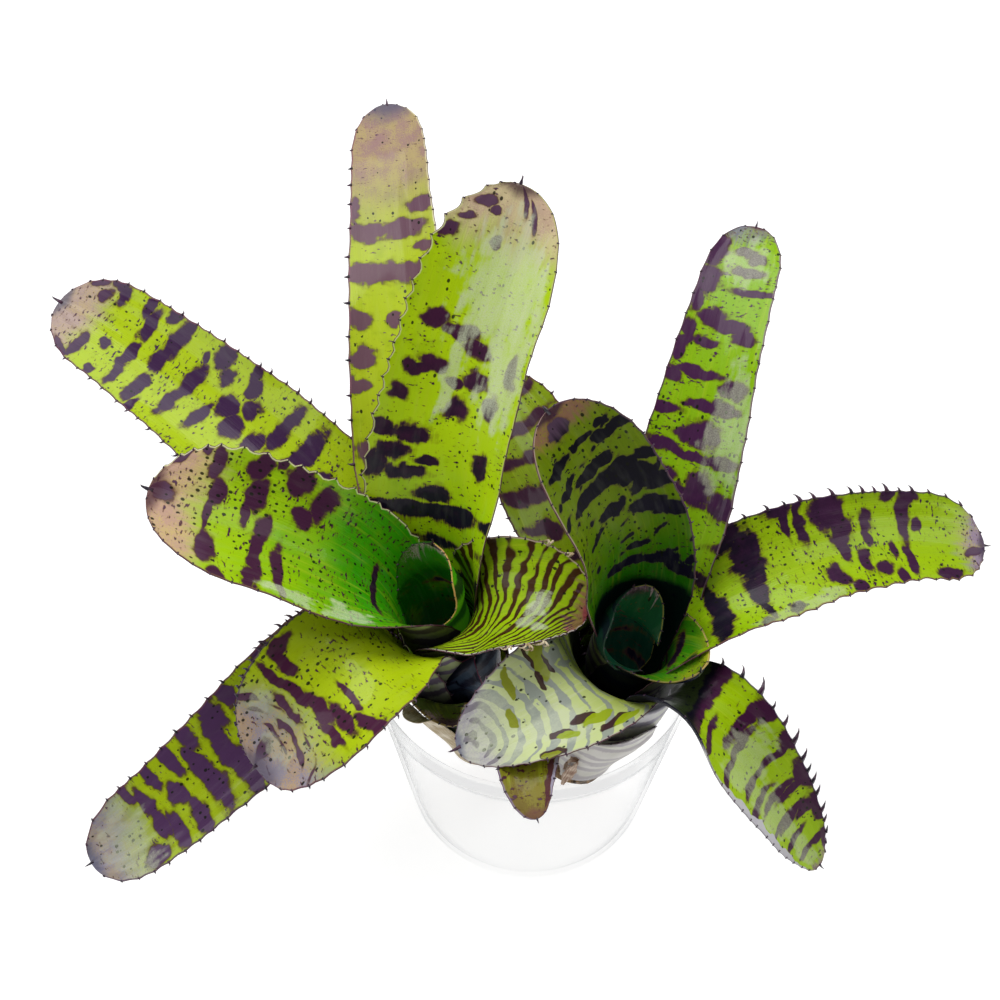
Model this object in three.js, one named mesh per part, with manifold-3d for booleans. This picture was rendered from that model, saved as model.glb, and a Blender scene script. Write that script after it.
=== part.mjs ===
// A neoregelia bromeliad: two tank rosettes on one rhizome, standing bare-rooted in a clear round cup.
// Millimetres, +Z up. The origin is the middle of the cup's flat underside, and -Y is the front.
import * as THREE from 'three';
import { LoftGeometry } from 'three/addons/geometries/LoftGeometry.js';
import { mergeVertices } from 'three/addons/utils/BufferGeometryUtils.js';
import Module from 'manifold-3d';

const { degToRad, lerp, smoothstep } = THREE.MathUtils;
const X = new THREE.Vector3( 1, 0, 0 );
const Y = new THREE.Vector3( 0, 1, 0 );

// The cup: a thin tapered wall, a floor, and a rolled rim.
const CUP = { rimRadius: 49, baseRadius: 38.5, height: 78, wall: 1, floor: 1.2, bead: 1.6, sides: 48 };

// The sheaths: each leaf wraps the ones inside it and starts a little lower on the stem.
const LEAF_THICKNESS = 0.8;
const INNER_RADIUS = 9; // of the innermost sheath, at its widest
const LAYER_PITCH = 1.2; // between two sheaths, at their widest
const STEM_RADIUS = 3.5; // of the innermost sheath, where it is attached
const STEM_PITCH = 1.15; // between two sheaths, where they are attached
const LAYER_STEP = 3; // down the stem from one layer to the next
const SWELL_LENGTH = 38; // along the stem, from the attachment to the widest place
const STEM_GAP = 0.45;
const CLEARANCE = 0.3; // left where a leaf is notched round one that passes through its margin

// A rosette is a tube from its foot on the stem to its crown, the open mouth.
const ROSETTES = {
	left: rosette( [ - 13, 3, 18 ], [ - 31, 5, 95 ], 8 ),
	right: rosette( [ 14.5, - 1, 14 ], [ 29, - 5, 90 ], 9 ),
};

// The leaves, from the heart outwards. heading: degrees round the stem from +X. shoulder: the share of the tube's
// height where the blade leaves it. tip: where the blade ends. aim: the way the tip points. rise and run: how
// strongly the blade follows the tube and the tip's aim. face: the way the blade's upper side looks. width and
// sheath: across the blade and the sheath, measured round their curve. curl: the channel's radius at the blade's
// base and at its tip. taper: how much narrower the blade ends. blunt: the length of the rounded end, in half
// widths. neck: how much the blade's base is drawn in.
const LEAVES = [
	{ name: 'left_heart_leaf', rosette: 'left', layer: 0, heading: 45, shoulder: 0.88, tip: [ - 27, 12, 102 ], aim: [ 0.05, 0.15, 1 ], rise: 8, run: 8, width: 36, sheath: 44, face: [ - 0.5, - 0.85, 0.2 ], curl: [ 9.8, 10.5 ], taper: 0.15, blunt: 0.7 },
	{ name: 'left_trough_leaf', rosette: 'left', layer: 1, heading: 188, shoulder: 0.84, tip: [ - 92, 0, 138 ], aim: [ - 0.75, 0, 0.5 ], rise: 26, run: 34, width: 42, sheath: 50, face: [ 0.3, - 0.3, 0.9 ], curl: [ 24, 26 ], taper: 0.1 },
	{ name: 'left_short_leaf', rosette: 'left', layer: 2, heading: - 22, shoulder: 0.76, tip: [ 14, - 5, 94 ], aim: [ 0.75, - 0.1, - 0.65 ], rise: 12, run: 22, width: 38, sheath: 44, face: [ 0.1, - 0.3, 0.95 ], curl: [ 22, 20 ], taper: 0.3 },
	{ name: 'left_upright_leaf', rosette: 'left', layer: 3, heading: 75, shoulder: 0.8, tip: [ - 4, 64, 178 ], aim: [ 0.3, 0.5, 0.8 ], rise: 42, run: 40, width: 42, sheath: 48, face: [ - 0.15, - 0.75, 0.6 ], curl: [ 24, 30 ], taper: 0.12, blunt: 1.4 },
	{ name: 'left_front_leaf', rosette: 'left', layer: 4, heading: 248, shoulder: 0.68, tip: [ - 71, - 41, 78 ], aim: [ - 0.6, - 0.2, - 0.75 ], rise: 32, run: 34, width: 47, sheath: 44, face: [ - 0.15, - 0.5, 0.9 ], curl: [ 36, 26 ], taper: 0.22, blunt: 1.25, neck: 0.25 },
	{ name: 'left_small_right_leaf', rosette: 'left', layer: 5, heading: 292, shoulder: 0.58, tip: [ - 14, - 13, 68 ], aim: [ 0.7, - 0.2, - 0.1 ], rise: 9, run: 12, width: 20, sheath: 24, face: [ - 0.4, 0.9, 0.3 ], curl: [ 17, 17 ], taper: 0.3 },
	{ name: 'left_rear_left_leaf', rosette: 'left', layer: 5, heading: 156, shoulder: 0.73, tip: [ - 141, 91, 118 ], aim: [ - 0.85, 0.4, 0.25 ], rise: 30, run: 60, width: 47, sheath: 36, face: [ 0.1, - 0.5, 1 ], curl: [ 26, 40 ], taper: 0.35, neck: 0.1, blunt: 0.85 },
	{ name: 'left_rear_leaf', rosette: 'left', layer: 6, heading: 91, shoulder: 0.64, tip: [ - 44, 146, 150 ], aim: [ - 0.08, 0.9, 0.1 ], rise: 46, run: 60, width: 37, sheath: 30, face: [ - 0.1, - 0.5, 1 ], curl: [ 24, 40 ], taper: 0.4, blunt: 1.2, neck: 0.3 },
	{ name: 'left_low_leaf', rosette: 'left', layer: 6, heading: 222, shoulder: 0.66, tip: [ - 119, - 52, 44 ], aim: [ - 0.8, - 0.3, - 0.4 ], rise: 46, run: 50, width: 34, sheath: 28, face: [ 0.1, - 0.5, 0.95 ], curl: [ 24, 40 ], taper: 0.3, neck: 0.1 },
	{ name: 'left_small_front_leaf', rosette: 'left', layer: 7, heading: 262, shoulder: 0.5, tip: [ - 22, - 23, 66 ], aim: [ 0.4, - 0.5, 0.2 ], rise: 9, run: 10, width: 18, sheath: 22, face: [ 0.1, 0.8, 0.6 ], curl: [ 18, 18 ], taper: 0.3 },
	{ name: 'left_withered_leaf', rosette: 'left', layer: 8, heading: 236, shoulder: 0.42, tip: [ - 35, - 18, 61 ], aim: [ - 0.3, - 0.5, 0.8 ], rise: 8, run: 7, width: 12, sheath: 16, face: [ 0.5, 0.7, 0.4 ], curl: [ 18, 12 ], taper: 0.4 },
	{ name: 'right_heart_leaf', rosette: 'right', layer: 0, heading: 160, shoulder: 0.9, tip: [ 26, 1, 97 ], aim: [ 0, 0.1, 1 ], rise: 6, run: 6, width: 34, sheath: 46, face: [ 0.5, - 0.85, 0.2 ], curl: [ 9.5, 10 ], taper: 0.15, blunt: 0.7 },
	{ name: 'right_upright_leaf', rosette: 'right', layer: 1, heading: 115, shoulder: 0.84, tip: [ 1.5, 8, 156 ], aim: [ - 0.6, 0.2, 0.8 ], rise: 34, run: 24, width: 40, sheath: 48, face: [ 0.3, - 0.75, 0.6 ], curl: [ 18, 22 ], taper: 0.25 },
	{ name: 'right_lip_leaf', rosette: 'right', layer: 2, heading: 318, shoulder: 0.87, tip: [ 42, - 21, 91 ], aim: [ 0.1, - 0.1, 1 ], rise: 5, run: 5, width: 36, sheath: 44, face: [ - 0.5, 0.5, 0.5 ], curl: [ 13, 14 ], taper: 0.3 },
	{ name: 'right_side_leaf', rosette: 'right', layer: 3, heading: 12, shoulder: 0.78, tip: [ 129, 25, 84 ], aim: [ 0.95, 0.05, - 0.3 ], rise: 32, run: 50, width: 34, sheath: 46, face: [ 0.1, - 0.35, 1 ], curl: [ 24, 30 ], taper: 0.2 },
	{ name: 'right_front_leaf', rosette: 'right', layer: 4, heading: 226, shoulder: 0.66, tip: [ - 20, - 37, 80 ], aim: [ - 0.82, - 0.25, - 0.35 ], rise: 21, run: 33, width: 44, sheath: 46, face: [ - 0.15, - 0.35, 1 ], curl: [ 24, 30 ], taper: 0.45, neck: 0.05 },
	{ name: 'right_rear_leaf', rosette: 'right', layer: 5, heading: 69, shoulder: 0.6, tip: [ 63, 91, 145 ], aim: [ 0.3, 0.8, 0.1 ], rise: 50, run: 56, width: 34, sheath: 44, face: [ - 0.2, - 0.4, 1 ], curl: [ 26, 40 ], taper: 0.4, neck: 0.25 },
	{ name: 'right_drooping_leaf', rosette: 'right', layer: 7, heading: 282, shoulder: 0.73, tip: [ 82, - 45, 26 ], aim: [ 0.5, - 0.15, - 0.95 ], rise: 35, run: 50, width: 35, sheath: 50, face: [ 0, - 0.3, 0.95 ], curl: [ 20, 15 ], taper: 0.5, neck: 0, blunt: 2 },
	{ name: 'right_rear_left_leaf', rosette: 'right', layer: 6, heading: 128, shoulder: 0.62, tip: [ - 14, 64, 112 ], aim: [ - 0.5, 0.7, 0.1 ], rise: 30, run: 36, width: 32, sheath: 34, face: [ 0.1, - 0.4, 1 ], curl: [ 24, 30 ], taper: 0.2 },
	{ name: 'right_tucked_leaf', rosette: 'right', layer: 6, heading: 228, shoulder: 0.46, tip: [ 0, - 55, 78 ], aim: [ 0.3, - 0.85, - 0.25 ], rise: 18, run: 30, width: 24, sheath: 24, face: [ 0, - 0.3, 1 ], curl: [ 20, 20 ], taper: 0.3, blunt: 2 },
	{ name: 'right_pale_leaf', rosette: 'right', layer: 8, heading: 282, shoulder: 0.5, tip: [ 23, - 27, 64 ], aim: [ 0.2, - 0.4, 0.8 ], rise: 9, run: 9, width: 22, sheath: 24, face: [ - 0.2, 0.8, 0.6 ], curl: [ 19, 19 ], taper: 0.3 },
	{ name: 'right_withered_leaf', rosette: 'right', layer: 9, heading: 252, shoulder: 0.3, tip: [ 10, - 19, 33 ], aim: [ - 0.1, - 0.9, 0.2 ], rise: 7, run: 5, width: 9, sheath: 12, face: [ 0.1, 0.5, 0.8 ], curl: [ 14, 6 ], taper: 0.4 },
];

// The roots: where each leaves the stem, and where it lies on the cup's floor.
const ROOT_RADIUS = 1.3;
const ROOTS = [
	{ rosette: 'left', heading: 50, reach: 17 },
	{ rosette: 'left', heading: 88, reach: 20 },
	{ rosette: 'left', heading: 130, reach: 17 },
	{ rosette: 'right', heading: 35, reach: 16 },
	{ rosette: 'right', heading: 82, reach: 20 },
	{ rosette: 'right', heading: 125, reach: 16 },
];

const wasm = await Module();
wasm.setup();

function vector( [ x, y, z ] ) {

	return new THREE.Vector3( x, y, z );

}

function rosette( foot, crown, layers ) {

	const axis = vector( crown ).sub( vector( foot ) );
	return { foot: vector( foot ), tube: axis.length(), axis: axis.normalize(), layers };

}

// The part of v square to the unit vector along.
function squareTo( v, along ) {

	return v.clone().addScaledVector( along, - v.dot( along ) ).normalize();

}

function horizontal( heading ) {

	return X.clone().applyAxisAngle( new THREE.Vector3( 0, 0, 1 ), degToRad( heading ) );

}

// The middle line of a sheath: up the tube, swelling out from the stem.
class SheathLine extends THREE.Curve {

	constructor( leaf ) {

		super();
		this.rosette = ROSETTES[ leaf.rosette ];
		this.outward = squareTo( horizontal( leaf.heading ), this.rosette.axis );
		this.start = LAYER_STEP * ( this.rosette.layers - leaf.layer );
		this.end = leaf.shoulder * this.rosette.tube;
		this.stemRadius = STEM_RADIUS + STEM_PITCH * leaf.layer;
		this.tubeRadius = INNER_RADIUS + LAYER_PITCH * leaf.layer;

	}

	radius( t ) {

		const height = lerp( 0, this.end - this.start, t );
		return lerp( this.stemRadius, this.tubeRadius, smoothstep( height, 0, SWELL_LENGTH ) );

	}

	getPoint( t, target = new THREE.Vector3() ) {

		return target.copy( this.rosette.foot )
			.addScaledVector( this.rosette.axis, lerp( this.start, this.end, t ) )
			.addScaledVector( this.outward, this.radius( t ) );

	}

}

// The blade's middle line: off the sheath's end and round to the tip.
function bladeLine( leaf, sheath ) {

	const shoulder = sheath.getPoint( 1 );
	const tip = vector( leaf.tip );
	return new THREE.CubicBezierCurve3(
		shoulder,
		shoulder.clone().addScaledVector( sheath.getTangent( 1 ), leaf.rise ),
		tip.clone().addScaledVector( vector( leaf.aim ).normalize(), - leaf.run ),
		tip,
	);

}

// The cross sections of a leaf, each a closed ring of points. grown: makes the leaf that much bigger all round.
function leafSections( leaf, grown = 0 ) {

	const { blunt = 1.15, neck = 0 } = leaf;
	const sheath = new SheathLine( leaf );
	const line = new THREE.CurvePath();
	line.add( sheath );
	line.add( bladeLine( leaf, sheath ) );

	const length = line.getLength(), sheathLength = sheath.getLength();
	const along = Math.round( 7 + length / 18 );
	const across = 2 * Math.max( 3, Math.ceil( leaf.sheath / sheath.tubeRadius / degToRad( 50 ) ) );
	const roundEnd = blunt * leaf.width / 2;
	const face = vector( leaf.face ).normalize();
	const sections = [];

	for ( let i = 0; i <= along; i ++ ) {

		const x = 1 - ( 1 - i / along ) ** 1.15;
		const s = x * length;
		const centre = line.getPoint( x );
		const tangent = line.getPoint( Math.min( x + 0.004, 1 ) ).sub( line.getPoint( Math.max( x - 0.004, 0 ) ) ).normalize();

		// The section is square to the tube in the sheath, and square to the middle line in the blade.
		const leaving = smoothstep( s / sheathLength, 0.8, 1.3 );
		const normalTo = sheath.rosette.axis.clone().lerp( tangent, leaving ).normalize();
		const bladeShare = Math.max( 0, ( s - 0.92 * sheathLength ) / ( length - 0.92 * sheathLength ) );
		const inward = sheath.outward.clone().negate().lerp( face, smoothstep( 2 * bladeShare, 0, 1 ) );
		const upper = squareTo( inward, normalTo );
		const sideways = normalTo.clone().cross( upper );

		// The channel: as round as the tube in the sheath, then as flat as the blade.
		const tubeRadius = sheath.radius( sheath.getUtoTmapping( Math.min( s / sheathLength, 1 ) ) );
		const flattening = smoothstep( s - 0.9 * sheathLength, 0, 0.35 * ( length - sheathLength ) + 0.1 * sheathLength );
		const bladeCurve = lerp( 1 / leaf.curl[ 0 ], 1 / leaf.curl[ 1 ], bladeShare );
		const curve = lerp( 1 / tubeRadius, bladeCurve, flattening );

		// The half width: the sheath narrows at its base, the blade at its neck and towards its rounded end.
		let half = lerp( leaf.sheath, leaf.width, smoothstep( s / sheathLength, 0.55, 1.3 ) ) / 2;
		half *= lerp( 0.72, 1, smoothstep( s / sheathLength, 0, 0.3 ) );
		half *= 1 - neck * Math.exp( - ( ( ( s / sheathLength - 1.1 ) / 0.3 ) ** 2 ) );
		half *= 1 - leaf.taper * smoothstep( s, sheathLength, length );
		half *= Math.sqrt( 1 - Math.max( 0, ( s - length + roundEnd ) / roundEnd ) ** 2.2 );
		half = Math.max( Math.min( half, 2.7 / curve ), 0.4 ) + grown;

		const side = ( v, direction ) => {

			const angle = v * half * curve;
			const thickness = LEAF_THICKNESS * ( 1 - 0.55 * Math.abs( v ) ** 3 ) * Math.min( 1, Math.sqrt( half / 3 ) );
			const radius = 1 / curve - direction * ( thickness / 2 + grown );
			return centre.clone()
				.addScaledVector( upper, 1 / curve - radius * Math.cos( angle ) )
				.addScaledVector( sideways, radius * Math.sin( angle ) );

		};

		const stops = Array.from( { length: across + 1 }, ( _, j ) => 2 * j / across - 1 );
		sections.push( [ ...stops.map( ( v ) => side( v, 1 ) ), ...stops.reverse().map( ( v ) => side( v, - 1 ) ) ] );

	}

	return sections;

}

// Between three.js geometries and manifold-3d solids.
function solidOf( geometry ) {

	const bare = new THREE.BufferGeometry().setAttribute( 'position', geometry.getAttribute( 'position' ) ).setIndex( geometry.index );
	const merged = mergeVertices( bare, 1e-4 );
	return new wasm.Manifold( new wasm.Mesh( {
		numProp: 3,
		vertProperties: merged.getAttribute( 'position' ).array,
		triVerts: new Uint32Array( merged.index.array ),
	} ) );

}

function geometryOf( solid ) {

	const { vertProperties, triVerts } = solid.getMesh();
	const geometry = new THREE.BufferGeometry()
		.setAttribute( 'position', new THREE.BufferAttribute( vertProperties, 3 ) )
		.setIndex( new THREE.BufferAttribute( triVerts, 1 ) );
	geometry.computeVertexNormals();
	return geometry;

}

function largestPiece( solid ) {

	return solid.decompose().reduce( ( a, b ) => a.volume() > b.volume() ? a : b );

}

function leafSolid( leaf, grown ) {

	return solidOf( new LoftGeometry( leafSections( leaf, grown ), { capStart: true, capEnd: true } ) );

}

// A leaf, notched round each leaf inside it that passes through its margin.
function leafGeometry( leaf, innerLeaves ) {

	let solid = leafSolid( leaf );
	for ( const inner of innerLeaves ) {

		if ( solid.intersect( leafSolid( inner ) ).volume() > 0 ) {

			solid = largestPiece( solid.subtract( leafSolid( inner, CLEARANCE ) ) );

		}

	}

	return geometryOf( solid );

}

// The rhizome: a conical stem in each rosette, the runner between them, and the roots.
function stemSolid( { foot, axis, layers } ) {

	const radiusAt = ( height ) => STEM_RADIUS + STEM_PITCH * ( layers - height / LAYER_STEP ) - LEAF_THICKNESS / 2 - STEM_GAP;
	const base = radiusAt( 0 ), top = LAYER_STEP * layers;
	const profile = [ [ 0, - 7 ], [ base * 0.5, - 6 ], [ base * 0.85, - 3 ], [ base, 0 ], [ radiusAt( top ), top ], [ 0, top + 2 ] ];
	const geometry = new THREE.LatheGeometry( profile.map( ( [ r, h ] ) => new THREE.Vector2( r, h ) ), 16 );
	geometry.applyQuaternion( new THREE.Quaternion().setFromUnitVectors( Y, axis ) );
	geometry.translate( ...foot );
	return solidOf( geometry );

}

function rootSolid( { rosette: side, heading, reach } ) {

	const { foot } = ROSETTES[ side ];
	const out = horizontal( heading );
	const floorLevel = CUP.floor + CLEARANCE;
	const at = ( distance, z ) => foot.clone().setZ( z ).addScaledVector( out, distance );
	const line = new THREE.CatmullRomCurve3( [ at( 2, foot.z - 3 ), at( 5, 6 ), at( 0.6 * reach, floorLevel + 1 ), at( reach, floorLevel ) ] );
	const sections = [];
	for ( let i = 0; i <= 8; i ++ ) {

		const centre = line.getPointAt( i / 8 ), forward = line.getTangentAt( i / 8 );
		const sideways = new THREE.Vector3( 0, 0, 1 ).cross( out ), upward = forward.clone().cross( sideways );
		const radius = ROOT_RADIUS * ( 1 - 0.5 * i / 8 );
		centre.z = Math.max( centre.z, floorLevel + 0.87 * radius );
		sections.push( Array.from( { length: 6 }, ( _, j ) => centre.clone()
			.addScaledVector( sideways, radius * Math.cos( j * Math.PI / 3 ) )
			.addScaledVector( upward, radius * Math.sin( j * Math.PI / 3 ) ) ) );

	}

	return solidOf( new LoftGeometry( sections, { capStart: true, capEnd: true } ) );

}

function runnerSolid() {

	const from = ROSETTES.left.foot, to = ROSETTES.right.foot;
	const geometry = new THREE.CylinderGeometry( 3.6, 4.2, from.distanceTo( to ), 12 );
	geometry.applyQuaternion( new THREE.Quaternion().setFromUnitVectors( Y, to.clone().sub( from ).normalize() ) );
	geometry.translate( ...from.clone().lerp( to, 0.5 ) );
	geometry.translate( 0, 0, - 3 );
	return solidOf( geometry );

}

function rhizomeGeometry() {

	const pieces = [ stemSolid( ROSETTES.left ), stemSolid( ROSETTES.right ), runnerSolid(), ...ROOTS.map( rootSolid ) ];
	return geometryOf( pieces.reduce( ( a, b ) => a.add( b ) ) );

}

// The cup: one closed profile turned about the axis.
function cupGeometry() {

	const { rimRadius, baseRadius, height, wall, floor, bead, sides } = CUP;
	const beadAt = ( degrees ) => [ rimRadius - bead + bead * Math.cos( degToRad( degrees ) ), height - bead + bead * Math.sin( degToRad( degrees ) ) ];
	const profile = [ [ 0, 0 ], [ baseRadius - 1, 0 ], [ baseRadius, 1 ] ];
	for ( let degrees = - 135; degrees <= 180; degrees += 45 ) profile.push( beadAt( degrees ) );
	profile.push( [ profile[ 3 ][ 0 ] - wall, profile[ 3 ][ 1 ] ], [ baseRadius - wall, floor ], [ 0, floor ] );
	const geometry = new THREE.LatheGeometry( profile.map( ( [ r, z ] ) => new THREE.Vector2( r, z ) ), sides );
	return geometry.rotateX( Math.PI / 2 );

}

const leafGreen = new THREE.MeshStandardMaterial( { color: 0xa8bf3a, roughness: 0.3, metalness: 0 } );
const bandedGreen = new THREE.MeshStandardMaterial( { color: 0x7f8f3c, roughness: 0.3, metalness: 0 } );
const scurfyGrey = new THREE.MeshStandardMaterial( { color: 0xb4b9a4, roughness: 0.5, metalness: 0 } );
const witheredTan = new THREE.MeshStandardMaterial( { color: 0xcdbfa6, roughness: 0.8, metalness: 0 } );
const stemBrown = new THREE.MeshStandardMaterial( { color: 0x7a6246, roughness: 0.9, metalness: 0 } );
const clearPlastic = new THREE.MeshStandardMaterial( { color: 0xf2f4f5, roughness: 0.08, metalness: 0, transparent: true, opacity: 0.25 } );

function leafMaterial( { name } ) {

	if ( name.includes( 'withered' ) ) return witheredTan;
	if ( name.includes( 'pale' ) || name === 'right_front_leaf' ) return scurfyGrey;
	return name.includes( 'small' ) || name.includes( 'short' ) || name.includes( 'heart' ) ? bandedGreen : leafGreen;

}

function mesh( name, geometry, material ) {

	const made = new THREE.Mesh( geometry, material );
	made.name = name;
	return made;

}

const bromeliad = new THREE.Group();
bromeliad.add( mesh( 'clear_cup', cupGeometry(), clearPlastic ) );
bromeliad.add( mesh( 'rhizome_and_roots', rhizomeGeometry(), stemBrown ) );
LEAVES.forEach( ( leaf, i ) => bromeliad.add( mesh( leaf.name, leafGeometry( leaf, LEAVES.slice( 0, i ) ), leafMaterial( leaf ) ) ) );

export default bromeliad;
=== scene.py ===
import math
import random
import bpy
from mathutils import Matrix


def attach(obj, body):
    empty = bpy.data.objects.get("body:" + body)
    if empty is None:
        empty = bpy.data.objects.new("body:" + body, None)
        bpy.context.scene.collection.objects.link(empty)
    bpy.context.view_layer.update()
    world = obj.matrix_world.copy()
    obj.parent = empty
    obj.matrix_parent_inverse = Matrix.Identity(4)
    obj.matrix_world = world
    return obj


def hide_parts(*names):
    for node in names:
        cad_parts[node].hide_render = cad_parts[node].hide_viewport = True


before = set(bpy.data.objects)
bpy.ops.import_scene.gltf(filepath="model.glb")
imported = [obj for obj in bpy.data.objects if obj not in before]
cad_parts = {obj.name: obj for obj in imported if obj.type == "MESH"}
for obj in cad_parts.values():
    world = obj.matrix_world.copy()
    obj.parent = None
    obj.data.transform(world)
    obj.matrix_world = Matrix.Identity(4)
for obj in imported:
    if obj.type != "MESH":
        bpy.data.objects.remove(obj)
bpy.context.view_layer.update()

from types import SimpleNamespace

import bpy
import numpy as np
from mathutils import Vector

# A neoregelia bromeliad: two tank rosettes on one rhizome, standing bare-rooted in a clear round cup.
# Lengths are millimetres until a mesh is made. -Y is the front.
METRE = 1000
MM = 1 / METRE

# ---------------------------------------------------------------- view and light

# Places and sizes in this section are metres. The camera looks down at 50 degrees.
CAMERA_PLACE = (-0.0091, -0.1769, 0.3447)
CAMERA_AIM = (-0.0091, 0.1124, 0.0)
SENSOR_WIDTH, LENS = 36, 41.58  # millimetres
SOFTBOX_AIM = (0, 0, 0.05)
SOFTBOXES = {  # place, width and height, power in watts
    "overhead_softbox": ((-0.05, 0.4, 1.0), (0.8, 0.5), 7.5),
    "left_softbox": ((-0.9, -0.25, 0.7), (0.4, 0.8), 4),
    "right_softbox": ((0.9, 0.05, 0.8), (0.35, 0.8), 3),
}
STUDIO_TINT, STUDIO_STRENGTH = (0.95, 0.97, 1.0, 1.0), 0.12


def add_aimed(name, data, location, aim):
    """A camera or a light that looks from its location at a point."""
    thing = bpy.data.objects.new(name, data)
    bpy.context.scene.collection.objects.link(thing)
    thing.location = location
    thing.rotation_euler = (Vector(aim) - thing.location).to_track_quat("-Z", "Y").to_euler()
    return thing


def add_camera():
    data = bpy.data.cameras.new("camera")
    data.sensor_width = SENSOR_WIDTH
    data.lens = LENS
    bpy.context.scene.camera = add_aimed("camera", data, CAMERA_PLACE, CAMERA_AIM)


def light_studio():
    scene = bpy.context.scene
    scene.view_settings.view_transform = "Standard"
    scene.world = bpy.data.worlds.new("studio")
    scene.world.use_nodes = True
    backdrop = scene.world.node_tree.nodes["Background"]
    backdrop.inputs["Color"].default_value = STUDIO_TINT
    backdrop.inputs["Strength"].default_value = STUDIO_STRENGTH
    for name, (location, size, power) in SOFTBOXES.items():
        data = bpy.data.lights.new(name, "AREA")
        data.shape = "RECTANGLE"
        data.size, data.size_y = size
        data.energy = power
        add_aimed(name, data, location, SOFTBOX_AIM)


# ---------------------------------------------------------------- shader maths


class Value:
    """A shader socket. Arithmetic on it adds Math nodes."""

    def __init__(self, shader, socket):
        self.shader, self.socket = shader, socket

    def output(self, index):
        return Value(self.shader, self.socket.node.outputs[index])

    def math(self, operation, *others):
        return self.shader.node("Math", {"operation": operation}, [self, *others])

    def __add__(self, other):
        return self.math("ADD", other)

    __radd__ = __add__

    def __mul__(self, other):
        return self.math("MULTIPLY", other)

    __rmul__ = __mul__

    def __sub__(self, other):
        return self.math("SUBTRACT", other)

    def __rsub__(self, other):
        return self.shader.node("Math", {"operation": "SUBTRACT"}, [other, self])

    def __truediv__(self, other):
        return self.math("DIVIDE", other)

    def __pow__(self, other):
        return self.math("POWER", other)

    def __abs__(self):
        return self.math("ABSOLUTE")

    def most(self, other):
        return self.math("MAXIMUM", other)

    def eased(self, low, high, first, last):
        """The first value up to low, the last from high, and smooth between."""
        return self.shader.node("MapRange", {"interpolation_type": "SMOOTHSTEP"},
                                [self, low, high, first, last])

    def rising(self, low, high):
        return self.eased(low, high, 0.0, 1.0)

    def falling(self, low, high):
        return self.eased(low, high, 1.0, 0.0)


class Shader:
    """A node material under construction."""

    def __init__(self, name):
        self.material = bpy.data.materials.new(name)
        self.material.use_nodes = True
        self.tree = self.material.node_tree
        self.tree.nodes.clear()

    def node(self, kind, settings=None, inputs=(), output=0):
        node = self.tree.nodes.new("ShaderNode" + kind)
        for name, setting in (settings or {}).items():
            setattr(node, name, setting)
        for key, value in inputs.items() if isinstance(inputs, dict) else enumerate(inputs):
            if isinstance(value, Value):
                self.tree.links.new(value.socket, node.inputs[key])
            else:
                node.inputs[key].default_value = value
        return Value(self, node.outputs[output])

    def split(self, vector):
        """The three numbers of a vector."""
        first = self.node("SeparateXYZ", inputs=[vector])
        return first, first.output(1), first.output(2)

    def object_place(self):
        return self.node("TexCoord", output=3)

    def mix(self, factor, first, second):
        """A colour: first where factor is 0, second where it is 1."""
        return self.node("Mix", {"data_type": "RGBA"}, {0: factor, 6: first, 7: second}, output=2)

    def noise(self, x, y, z, detail=2.0, roughness=0.5):
        spot = self.node("CombineXYZ", inputs=[x, y, z])
        return self.node("TexNoise", inputs={"Vector": spot, "Scale": 1.0, "Detail": detail,
                                             "Roughness": roughness})

    def dots(self, x, y, density, radius):
        """Round dots in some of the cells of a grid that is one across."""
        spot = self.node("CombineXYZ", inputs=[x, y, 0.0])
        cell = self.node("TexVoronoi", {"voronoi_dimensions": "2D"}, {"Vector": spot, "Scale": 1.0})
        lot, size, _ = self.split(cell.output(1))
        chosen = lot.math("LESS_THAN", density)
        return chosen * (size * (0.7 * radius) + 0.5 * radius - cell).rising(-0.03, 0.05)

    def bump(self, height, strength, distance):
        return self.node("Bump", inputs={"Height": height, "Strength": strength, "Distance": distance})

    def finish(self, surface):
        output = self.tree.nodes.new("ShaderNodeOutputMaterial")
        self.tree.links.new(surface.socket, output.inputs["Surface"])
        return self.material

    def finish_skin(self, sockets):
        return self.finish(self.node("BsdfPrincipled", inputs=sockets))


def rgb(code):
    """A linear colour from a hexadecimal screen colour."""
    screen = [int(code[i:i + 2], 16) / 255 for i in (0, 2, 4)]
    return (*(c / 12.92 if c < 0.04045 else ((c + 0.055) / 1.055) ** 2.4 for c in screen), 1.0)


# ---------------------------------------------------------------- leaf finishes

# The blotches' navy low in the throat: their own dark deepened by painted shade.
NAVY = rgb("120a24")
MAROON = rgb("4a1a2c")
RUST = rgb("5e4008")
SPECK = rgb("14160c")
FADED_BAND = rgb("6a5068")
POWDER = rgb("d4dcc0")
# The colour of the painted sheen: pale patches that stand in for reflections on the glossy coat.
PAINTED_SHEEN = rgb("ccd4b4")
TUBE_SHADE = rgb("050a16")
RIM_WIDTH = 0.32
LEAF_BUMP = 0.35, 0.0004  # strength, and height in metres
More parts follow.
